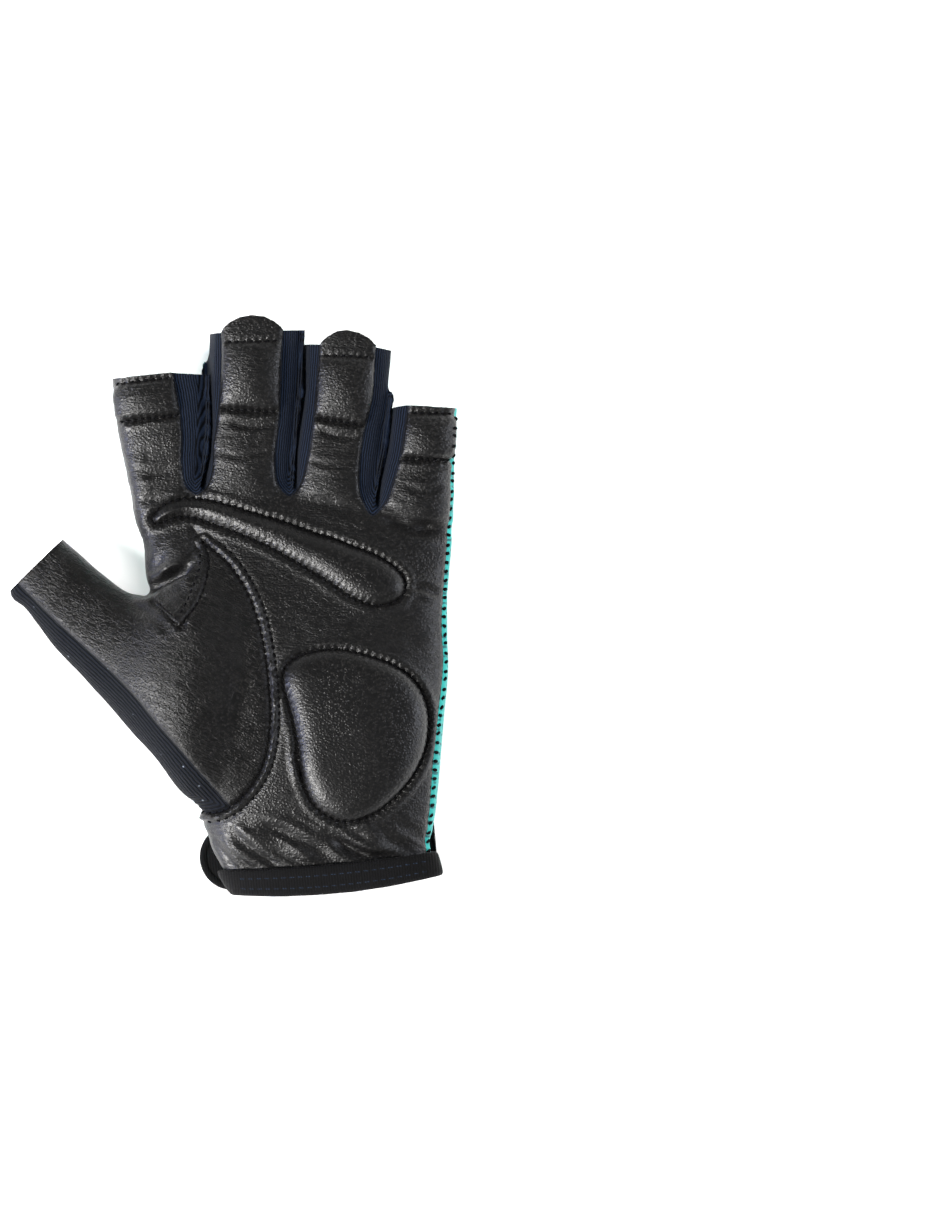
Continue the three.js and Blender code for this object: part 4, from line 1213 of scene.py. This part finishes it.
def makeRibKnit(name, pitch, specks, ridge):
    material, tree, places = emptyMaterial(name)
    away = add(tree, "ShaderNodeAttribute", attribute_name="seamDistance").outputs["Fac"]
    bent = sumOf(tree, "MULTIPLY_ADD", noise(tree, places, 0.35)[0], 0.5, away)
    wave = sumOf(tree, "SINE", sumOf(tree, "MULTIPLY", bent, 2 * math.pi / pitch))
    rib = ranged(tree, wave, -1.0, 0.8, 0.0, 1.0, "SMOOTHSTEP")
    loops = cellsOf(tree, places, 1 / ribKnit["loop"], "Randomness", 0.8)
    height = sumOf(tree, "MULTIPLY", rib, ribKnit["ribDepth"] * pitch)
    height = sumOf(tree, "MULTIPLY_ADD", loops, ribKnit["loopDepth"], height)
    height = sumOf(tree, "MULTIPLY_ADD", noise(tree, places, 4.0)[0], ribKnit["fuzz"], height)
    # painted shade: the rib valleys are painted near black and the ridges lighter
    colour = blended(tree, rib, linear(ribKnit["valley"]), linear(ridge))
    # painted glints: pale specks painted into the colour between the ribs
    glints = ranged(tree, cellsOf(tree, places, 0.26, "Randomness", 1.0), 0.04, 0.09, specks, 0.0)
    colour = blended(tree, glints, colour, linear(ribKnit["glintPaint"]))
    finished(tree, ribKnit, colour, height)
    return material


# Warp-knitted polyester back: turquoise, matt, with staggered rows of small open cells
backKnit = {
    "yarn": "#1f938d", "shade": "#0b5355", "cell": 1.35, "cellDepth": 0.22, "fuzz": 0.08,
    "relief": 0.8, "rough": 0.85, "ior": 1.5, "sheen": 0.15,
}


def makeBackKnit(name):
    material, tree, places = emptyMaterial(name)
    parts = add(tree, "ShaderNodeSeparateXYZ", {0: places}).outputs
    waves = [
        sumOf(tree, "SINE", sumOf(tree, "MULTIPLY", way, math.pi / backKnit["cell"]))
        for way in (sumOf(tree, "ADD", parts["X"], parts["Z"]), parts["Y"])
    ]
    hole = ranged(tree, sumOf(tree, "MULTIPLY", *waves), 0.45, 0.85, 1.0, 0.0, "SMOOTHSTEP")
    height = sumOf(tree, "MULTIPLY", hole, backKnit["cellDepth"])
    height = sumOf(tree, "MULTIPLY_ADD", noise(tree, places, 3.5, 3.0)[0], backKnit["fuzz"], height)
    broad = ranged(tree, noise(tree, places, 0.12)[0], 0.3, 0.7, 0.8, 1.0)
    tone = sumOf(tree, "MULTIPLY", hole, broad)
    colour = blended(tree, tone, linear(backKnit["shade"]), linear(backKnit["yarn"]))
    finished(tree, backKnit, colour, height)
    return material


# Woven stretch tape: black nylon with fine cross ribs and a soft nap
stretchTape = {
    "dark": "#010101", "light": "#08080a", "rib": 0.75, "ribDepth": 0.09, "napDepth": 0.16,
    "relief": 0.8, "rough": 0.9, "ior": 1.3, "sheen": 0.02, "sheenRough": 0.4,
}


def makeStretchTape(name, turn):
    material, tree, places = emptyMaterial(name)
    across = {"Vector": places, "Rotation": (0, 0, math.radians(turn))}
    turned = add(tree, "ShaderNodeMapping", across).outputs[0]
    # the wave texture repeats every 0.314 at a scale of 1
    ribs = bands(tree, turned, "X", Scale=0.314 / stretchTape["rib"], Distortion=1.2, Detail=2.0)
    nap = noise(tree, places, 2.4, 4.0, 0.65)[0]
    height = sumOf(tree, "MULTIPLY", nap, stretchTape["napDepth"])
    height = sumOf(tree, "MULTIPLY_ADD", ribs, stretchTape["ribDepth"], height)
    tone = sumOf(tree, "MULTIPLY", ribs, nap)
    colour = blended(tree, tone, linear(stretchTape["dark"]), linear(stretchTape["light"]))
    finished(tree, stretchTape, colour, height)
    return material


# Bonded polyester sewing thread, twisted: each stitch shows its slanting plies
thread = {
    "dark": "#020202", "light": "#0c0c0e", "paleDark": "#0d1119", "paleLight": "#262e3b",
    "plyDepth": 0.1, "relief": 0.5, "rough": 0.95, "ior": 1.2,
}


def makeThread(name, dark, light):
    material, tree, places = emptyMaterial(name)
    plies = bands(tree, places, "DIAGONAL", Scale=0.8, Distortion=2.0)
    colour = blended(tree, plies, linear(dark), linear(light))
    finished(tree, thread, colour, sumOf(tree, "MULTIPLY", plies, thread["plyDepth"]))
    return material


materials = {
    "palm": makeGoatskin("goatskinPalm", -3.0, 1.0),
    "thumb": makeGoatskin("goatskinThumb", -25.0, 1.5, 0.9, 0.32),
    "pad": makeGoatskin("goatskinPad", -20.0, 0.4, 1.1),
    "fineRib": makeRibKnit("fineRibKnit", ribKnit["finePitch"], 0.0, ribKnit["fineRidge"]),
    "coarseRib": makeRibKnit("coarseRibKnit", ribKnit["coarsePitch"], 0.5, ribKnit["coarseRidge"]),
    "back": makeBackKnit("turquoiseBackKnit"),
    "tape": makeStretchTape("stretchTape", -5.5),
    "thread": makeThread("blackThread", thread["dark"], thread["light"]),
    "paleThread": makeThread("greyThread", thread["paleDark"], thread["paleLight"]),
}
print("materials:", len(materials))


# Pieces of the skin, each a closed sheet with its own thickness

pieceSheets = {
    "palm_panel": {"look": "palm", "slot": "goatskin", "thick": 1.2, "held": "stretched"},
    "thumb_panel": {"look": "thumb", "slot": "goatskin", "thick": 1.2, "held": "stretched"},
    "thumb_knit": {"look": "coarseRib", "slot": "rib_knit", "thick": 1.1, "held": "stretched"},
    "back_panel": {"look": "back", "slot": "back_mesh", "thick": 1.1, "held": "laid"},
    "fourchette_index_middle": {"look": "fineRib", "slot": "rib_knit", "thick": 0.8, "held": "stretched"},
    "fourchette_middle_ring": {"look": "fineRib", "slot": "rib_knit", "thick": 0.8, "held": "stretched"},
    "fourchette_ring_little": {"look": "fineRib", "slot": "rib_knit", "thick": 0.8, "held": "stretched"},
    "thumb_gusset": {"look": "thumb", "slot": "goatskin", "thick": 1.2, "held": "stretched"},
    "index_hem": {"look": "palm", "slot": "goatskin", "thick": 1.2, "held": "folded"},
    "middle_cap": {"look": "palm", "slot": "goatskin", "thick": 1.2, "held": "folded"},
    "ring_cap": {"look": "palm", "slot": "goatskin", "thick": 1.2, "held": "folded"},
    "little_hem": {"look": "palm", "slot": "goatskin", "thick": 1.2, "held": "folded"},
}
piecePads = {
    "knuckle_pad": {"look": "pad", "slot": "goatskin", "thick": 1.2, "fill": 0.75},
    "heel_pad": {"look": "pad", "slot": "goatskin", "thick": 1.2, "fill": 0.7},
}


def placed(name, mesh, material):
    made = bpy.data.objects.new(name, mesh)
    bpy.context.scene.collection.objects.link(made)
    mesh.materials.append(material)
    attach(made, "root")
    return made


# Triangles of one piece: the largest is thinned out
budget = {"above": 150000, "kept": 120000}
# Millimetres a sheet keeps under its relief and over the floor, and the angle of a sharp edge
sheetRoom = {"under": 0.6, "above": 0.5, "sharp": 50.0}


def makePiece(node, thick, material):
    own = skinTriangles[piece == pieceCode[node]]
    chosen, own = np.unique(own, return_inverse=True)
    own = own.reshape(-1, 3)
    outer = outerPoints[chosen]
    depth = np.maximum(thick, sheetRoom["under"] - rise[chosen])
    inner = skinPoints[chosen] - normals[chosen] * depth[:, None]
    above = sheetRoom["above"]
    inner[:, 2] = np.maximum(inner[:, 2], np.minimum(above, outer[:, 2] + above))
    count = len(chosen)
    sides = sidesOf(own)
    codes = sides[:, 0].astype(np.int64) * count + sides[:, 1]
    back = sides[:, 1].astype(np.int64) * count + sides[:, 0]
    rim = sides[~np.isin(codes, back)]
    walls = np.vstack([
        np.column_stack([rim[:, 1], rim[:, 0], rim[:, 0] + count]),
        np.column_stack([rim[:, 1], rim[:, 0] + count, rim[:, 1] + count]),
    ])
    triangles = np.vstack([own, own[:, ::-1] + count, walls])
    points = np.vstack([outer, inner])
    mesh = fastMesh(node + "_cloth", points * mm, triangles)
    if len(triangles) > budget["above"]:
        mesh = worked(mesh, [("DECIMATE", {"ratio": budget["kept"] / len(triangles)})])
        mesh.name = node + "_cloth"
        mesh.validate()
        points = trianglesOf(mesh)[0]
    mesh.shade_smooth()
    mesh.set_sharp_from_angle(angle=math.radians(sheetRoom["sharp"]))
    if len(points) == 2 * count:
        away = mesh.attributes.new("seamDistance", "FLOAT", "POINT")
        away.data.foreach_set("value", np.tile(knitDistance[chosen], 2).astype(np.float32))
    made = placed(node + "_cloth", mesh, material)
    area = float(np.linalg.norm(crossOf(outer, own), axis=1).sum() / 2) * mm * mm
    return made, area


# A sheet's flat size is worked out from its node's box, grown where the measured area needs it; nothing after
# this uses it
flatSize = {"least": 0.0105, "fullShare": 0.9, "leastShare": 0.31}
for node, sheet in pieceSheets.items():
    made, area = makePiece(node, sheet["thick"], materials[sheet["look"]])
    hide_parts(node)
    low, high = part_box(node)
    width, length = (max(side, flatSize["least"]) for side in (high.x - low.x, high.y - low.y))
    grow = max(1.0, math.sqrt(area / (flatSize["fullShare"] * width * length)))
    print("measured", node, "area", round(area * 1e6), "mm2", "triangles", len(made.data.polygons))
    area = max(area, flatSize["leastShare"] * width * length * grow * grow)
for node, pad in piecePads.items():
    made, area = makePiece(node, pad["thick"], materials[pad["look"]])
    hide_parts(node)
    print("measured", node, "area", round(area * 1e6), "mm2")


# The tape folded over the wrist hem
binding = {
    "width": 6.9, "outside": 1.0, "inside": 2.2, "topBow": 0.9, "bottomBow": 2.0, "squareness": 3.6,
    "sides": 260, "around": 36, "waver": 0.12,
}
hemAcross = np.array([math.cos(hem["yaw"]), math.sin(hem["yaw"]), 0.0])
hemUpward = np.array([-math.sin(hem["yaw"]), math.cos(hem["yaw"]), 0.0])


# How far the tape sags in its middle, for a place up its width
def bowAt(up):
    return binding["topBow"] + (binding["bottomBow"] - binding["topBow"]) * (1 - up / binding["width"])


def makeBinding():
    sides, around = binding["sides"], binding["around"]
    angles = 2 * np.pi * np.arange(around) / around
    power = 2 / binding["squareness"]
    rounded = [np.sign(v) * np.abs(v) ** power for v in (np.cos(angles), np.sin(angles))]
    ups = binding["width"] * (0.5 - 0.5 * rounded[0])
    outside, inside = binding["outside"], binding["inside"]
    out = (outside - inside) / 2 + (outside + inside) / 2 * rounded[1]
    points = np.zeros((sides, around, 3))
    for k in range(around):
        ring = handRing(ups[k] / glove["palmLength"], sides)
        aside = (ring - ring.mean(axis=0)) @ hemAcross
        tangent = np.roll(ring, -1, axis=0) - np.roll(ring, 1, axis=0)
        outward = np.cross(tangent, hemUpward)
        outward /= np.linalg.norm(outward, axis=1)[:, None]
        sag = -bowAt(ups[k]) * (1 - (aside / np.abs(aside).max()) ** 2)
        points[:, k] = ring + outward * out[k] + hemUpward * sag[:, None]
    flat = points.reshape(-1, 3)
    flat += binding["waver"] * softNoise(flat, (5.0, 5.0, 5.0), 9)[:, None] * np.array([0.3, 0.6, 1.0])
    flat[:, 2] = np.maximum(flat[:, 2], strap["thick"] + 0.3)
    faces = []
    for i in range(sides):
        for k in range(around):
            a, b = i * around + k, i * around + (k + 1) % around
            c = (i + 1) % sides * around
            faces.append((a, b, c + (k + 1) % around, c + k))
    return flat, faces


# The closing strap: stretch tape with a round, bound end that shows beside the wrist
strap = {
    "middle": (23.2, -67.9), "left": -9.8, "right": 56.0, "width": 18.5, "thick": 2.2, "rim": 2.1,
}


def makeStrap():
    turn = hem["yaw"]
    along = np.array([math.cos(turn), math.sin(turn)])
    aside = np.array([-along[1], along[0]])
    radius = strap["width"] / 2
    reach = [(strap[side] - strap["middle"][0]) / math.cos(turn) for side in ("left", "right")]
    rounds = np.linspace(math.pi / 2, 1.5 * math.pi, 40)
    outline = [(reach[0] + radius + radius * math.cos(a), radius * math.sin(a)) for a in rounds]
    outline += [(u, -radius) for u in np.linspace(reach[0] + radius, reach[1], 45)[1:]]
    outline += [(reach[1], v) for v in np.linspace(-radius, radius, 14)[1:-1]]
    outline += [(u, radius) for u in np.linspace(reach[1], reach[0] + radius, 45)[:-1]]
    outline = np.array(outline)
    middle = np.array([np.clip(outline[:, 0], reach[0] + radius, reach[1] - 1.0), np.zeros(len(outline))]).T
    inset, heights = [], []
    rim, thick = strap["rim"], strap["thick"]
    for share, height in ((1.6, 0.0), (0.5, 0.05), (0.12, 0.35), (0.0, 0.6), (0.08, 0.85), (0.3, 1.0),
                          (0.7, 0.99), (0.92, 0.88), (1.0, 0.8), (1.15, 0.82), (1.6, 0.88)):
        inset.append(share * rim)
        heights.append(height * thick)
    rings = []
    for depth, height in zip(inset, heights):
        away = outline - middle
        length = np.maximum(np.linalg.norm(away, axis=1), 1e-6)
        ring = outline - away / length[:, None] * np.minimum(depth, 0.98 * length)[:, None]
        plan = np.array(strap["middle"]) + ring[:, :1] * along + ring[:, 1:] * aside
        rings.append(np.column_stack([plan, np.full(len(plan), height)]))
    count = len(outline)
    faces = []
    for row in range(len(rings) - 1):
        for i in range(count):
            a, b = row * count + i, row * count + (i + 1) % count
            faces.append((a, b, b + count, a + count))
    faces.append(tuple(range(count))[::-1])
    last = (len(rings) - 1) * count
    faces.append(tuple(range(last, last + count)))
    return np.vstack(rings), faces


tapes = {
    "wrist_binding": {"shape": makeBinding, "flat": (0.130, 0.011), "held": "folded", "edged": False},
    "wrist_strap": {"shape": makeStrap, "flat": (0.0665, 0.0185), "held": "laid", "edged": True},
}
tapePieces = {}
for node, tape in tapes.items():
    tapePoints, tapeFaces = tape["shape"]()
    tapeMesh = meshFrom(node + "_tape", tapePoints * mm, tapeFaces)
    tapeMesh.shade_smooth()
    if tape["edged"]:
        tapeMesh.set_sharp_from_angle(angle=math.radians(50))
    tapePieces[node] = placed(node + "_tape", tapeMesh, materials["tape"])
    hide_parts(node)


# Stitches: short threads sunk into the leather at their ends

stitching = {"sides": 8, "rings": 7, "fullness": 2.6, "flatness": 0.8, "sink": 0.32}


def stitchShape(length, thick):
    sides, rings = stitching["sides"], stitching["rings"]
    points = []
    for i in range(rings):
        t = -1 + 2 * i / (rings - 1)
        girth = thick / 2 * math.sqrt(max(0.02, 1 - abs(t) ** stitching["fullness"]))
        sunk = stitching["sink"] * thick * t * t
        for k in range(sides):
            angle = 2 * math.pi * k / sides
            height = girth * stitching["flatness"] * math.sin(angle) - sunk
            points.append((t * length / 2, girth * math.cos(angle), height))
    faces = []
    for i in range(rings - 1):
        for k in range(sides):
            a, b = i * sides + k, i * sides + (k + 1) % sides
            faces.append((a, b, b + sides, a + sides))
    faces.append(tuple(range(sides))[::-1])
    faces.append(tuple(range((rings - 1) * sides, rings * sides)))
    return np.array(points), faces


surfaceTree = BVHTree.FromPolygons([tuple(p) for p in outerPoints], skinTriangles.tolist())
# No stitch is laid on a surface lower than this, and rays start well over the glove
sewing = {"lowest": 4.0, "rayFrom": 60.0, "jitter": 5.0, "spread": 0.06}
straightDown = Vector((0, 0, -1))


def surfaceUnder(x, y):
    return surfaceTree.ray_cast(Vector((x, y, sewing["rayFrom"])), straightDown)[:2]


# Places for stitches along a line seen from above: point, direction and the surface's normal
def placesAlong(line, pitch, start=0.0, stop=0.0, sideways=0.0):
    line = np.asarray(line, float)
    steps = np.diff(line, axis=0)
    lengths = np.linalg.norm(steps, axis=1)
    ways = np.concatenate([[0], np.cumsum(lengths)])
    count = max(1, int(round((ways[-1] - start - stop) / pitch)))
    places = []
    for k in range(count):
        way = start + (k + 0.5) * (ways[-1] - start - stop) / count
        i = int(np.clip(np.searchsorted(ways, way) - 1, 0, len(steps) - 1))
        direction = steps[i] / lengths[i]
        at = line[i] + direction * (way - ways[i]) + sideways * np.array([-direction[1], direction[0]])
        hit, normal = surfaceUnder(at[0], at[1])
        if hit is not None and hit.z >= sewing["lowest"]:
            places.append((hit, Vector((direction[0], direction[1], 0)), normal))
    return places


def makeStitches(name, places, length, thick, material, twist=12.0, lift=0.14):
    shape, shapeFaces = stitchShape(length, thick)
    points, faces = [], []
    for at, direction, normal in places:
        along = (direction - normal * direction.dot(normal)).normalized()
        turn = twist + chance.uniform(-sewing["jitter"], sewing["jitter"])
        along.rotate(Quaternion(normal, math.radians(turn)))
        across = normal.cross(along)
        spread = 1 + chance.uniform(-sewing["spread"], sewing["spread"])
        base = len(points) * len(shape)
        frameOf = np.array([along * spread, across, normal])
        points.append(shape @ frameOf + np.array(at) + np.array(normal) * lift)
        faces += [tuple(i + base for i in face) for face in shapeFaces]
    mesh = meshFrom(name, np.vstack(points) * mm, faces)
    mesh.shade_smooth()
    made = placed(name, mesh, material)
    return made


# Seams from the palm, each a few rows of stitches
seamStitches = {"pitch": 2.0, "length": 1.35, "thick": 0.62, "secondRow": 2.3}


def sewSeams():
    pitch = seamStitches["pitch"]
    seams = {
        "heel_pad_stitches": [placesAlong(closedLine(heelOutline), pitch)],
        "knuckle_pad_stitches": [placesAlong(closedLine(knuckleOutline), pitch)],
        "thumb_seam_stitches": [
            placesAlong(thumbSeam, pitch, 1.0, 2.0),
            placesAlong(thumbSeam, pitch, 3.0, 2.0, seamStitches["secondRow"]),
        ],
        "gusset_stitches": [
            placesAlong(gussetOutline, pitch, 0.5), placesAlong(gussetInner, pitch, 0.5, 0.5),
        ],
        "fingertip_stitches": [
            placesAlong(smoothLine(cap[line]), pitch, 1.0, 1.0)
            for cap in capLines for line in ("low", "high")
        ],
    }
    for name, rows in seams.items():
        places = [place for row in rows for place in row]
        makeStitches(name, places, seamStitches["length"], seamStitches["thick"], materials["thread"])
    print("stitches:", sum(len(row) for rows in seams.values() for row in rows))


# Overlock stitches across the seam of the leather and the back
overlock = {
    "from": -68.0, "to": 54.0, "pitch": 2.5, "out": 0.35, "length": 1.7, "thick": 0.95,
    "uneven": 0.3, "slanted": 0.35,
}


def makeOverlock():
    places = []
    for y in np.arange(overlock["from"], overlock["to"], overlock["pitch"]):
        y += chance.uniform(-overlock["uneven"], overlock["uneven"])
        x = float(np.interp(y, *outerSeam)) + overlock["out"]
        hit, normal = surfaceUnder(x, y)
        if hit is not None and hit.z > sewing["lowest"]:
            slant = chance.uniform(-overlock["slanted"], overlock["slanted"])
            places.append((hit, Vector((1, slant, 0)).normalized(), normal))
    makeStitches("overlock_stitches", places, overlock["length"], overlock["thick"], materials["thread"])
    print("overlock stitches:", len(places))


# Two rows of pale stitches hold the tape on the wrist hem
tapeRows = {"up": (2.0, 4.7), "reach": 26.0, "bowReach": 28.0, "pitch": 2.3, "length": 1.5, "thick": 0.42}


def makeTapeStitches():
    tree = BVHTree.FromObject(tapePieces["wrist_binding"], bpy.context.evaluated_depsgraph_get())
    across, upward = Vector(hemAcross), Vector(hemUpward)
    middle = Vector((*hem["middle"], 0))
    places = []
    for row in tapeRows["up"]:
        for aside in np.arange(-tapeRows["reach"], tapeRows["reach"] + 0.5, tapeRows["pitch"]):
            up = row - bowAt(row) * (1 - (aside / tapeRows["bowReach"]) ** 2)
            at = middle + across * float(aside) + upward * float(up)
            start = Vector((at.x * mm, at.y * mm, sewing["rayFrom"] * mm))
            hit, normal, _, _ = tree.ray_cast(start, straightDown)
            if hit is not None:
                places.append((hit / mm, across, normal))
    makeStitches("tape_stitches", places, tapeRows["length"], tapeRows["thick"], materials["paleThread"], 4.0)
    print("tape stitches:", len(places))


sewSeams()
makeOverlock()
makeTapeStitches()


# Floor, light and camera

stage = {"pale": "#fafaf9", "palest": "#fdfdfc", "size": 3.0, "below": 0.0004}


def makeFloor():
    half = stage["size"] / 2
    corners = [(-half, -half, 0), (half, -half, 0), (half, half, 0), (-half, half, 0)]
    mesh = meshFrom("floor", corners, [(0, 1, 2, 3)])
    material, tree, places = emptyMaterial("paleFloor")
    grain = noise(tree, places, 0.02)[0]
    colour = blended(tree, grain, linear(stage["pale"]), linear(stage["palest"]))
    matt = {"Base Color": colour, "Roughness": 0.95, "IOR": 1.3}
    shader = add(tree, "ShaderNodeBsdfPrincipled", matt)
    add(tree, "ShaderNodeOutputMaterial", {"Surface": shader.outputs[0]})
    floor = bpy.data.objects.new("floor", mesh)
    floor.location.z = -stage["below"]
    mesh.materials.append(material)
    bpy.context.scene.collection.objects.link(floor)


# Soft light from the thumb side, weaker light low on both sides, and a room that is dark overhead.
# The fill and the gap light brighten cloth and floor and don't shine in the leather.
lamps = {
    "key": {"turn": 212, "up": 43, "away": 1.3, "size": 0.42, "power": 33.0, "colour": "#fffdfa"},
    "low": {"turn": 192, "up": 20, "away": 1.3, "size": 0.35, "power": 6.5, "colour": "#a9b6f7"},
    "rim": {"turn": 5, "up": 26, "away": 1.3, "size": 0.35, "power": 5.0, "colour": "#eef2ff"},
    "fill": {"turn": 52, "up": 42, "away": 1.7, "size": 1.7, "power": 50.0, "colour": "#ffffff"},
    "gap": {"turn": 132, "up": 48, "away": 1.7, "size": 1.2, "power": 24.0, "colour": "#ffffff"},
}
withoutShine = ("fill", "gap")
room = {"side": 0.85, "overhead": 0.02, "low": 0.1, "high": 0.65}


def makeLights():
    for name, lamp in lamps.items():
        data = bpy.data.lights.new(name, "AREA")
        data.shape = "DISK"
        data.size = lamp["size"]
        data.energy = lamp["power"]
        data.color = linear(lamp["colour"])[:3]
        turn, up = math.radians(lamp["turn"]), math.radians(lamp["up"])
        away = Vector((math.cos(turn) * math.cos(up), math.sin(turn) * math.cos(up), math.sin(up)))
        made = bpy.data.objects.new(name, data)
        made.location = away * lamp["away"]
        made.rotation_mode = "QUATERNION"
        made.rotation_quaternion = (-away).to_track_quat("-Z", "Y")
        made.visible_glossy = name not in withoutShine
        bpy.context.scene.collection.objects.link(made)
    world = bpy.data.worlds.new("room")
    world.use_nodes = True
    tree = world.node_tree
    tree.nodes.clear()
    way = add(tree, "ShaderNodeTexCoord").outputs["Generated"]
    height = add(tree, "ShaderNodeSeparateXYZ", {0: way}).outputs["Z"]
    strength = ranged(
        tree, height, room["low"], room["high"], room["side"], room["overhead"], "SMOOTHSTEP",
    )
    shine = add(tree, "ShaderNodeBackground", {"Strength": strength})
    add(tree, "ShaderNodeOutputWorld", {"Surface": shine.outputs[0]})
    bpy.context.scene.world = world
    bpy.context.scene.view_settings.view_transform = "Standard"


# Straight down, from far enough that the glove shows without perspective
camera = {"at": (65.7, -0.5), "height": 2500.0, "tall": 339.6, "sensor": 36.0}


def makeCamera():
    data = bpy.data.cameras.new("camera")
    data.sensor_width = camera["sensor"]
    data.lens = camera["sensor"] * camera["height"] / camera["tall"]
    made = bpy.data.objects.new("camera", data)
    made.location = (camera["at"][0] * mm, camera["at"][1] * mm, camera["height"] * mm)
    bpy.context.scene.collection.objects.link(made)
    bpy.context.scene.camera = made


makeFloor()
makeLights()
makeCamera()

print("done")
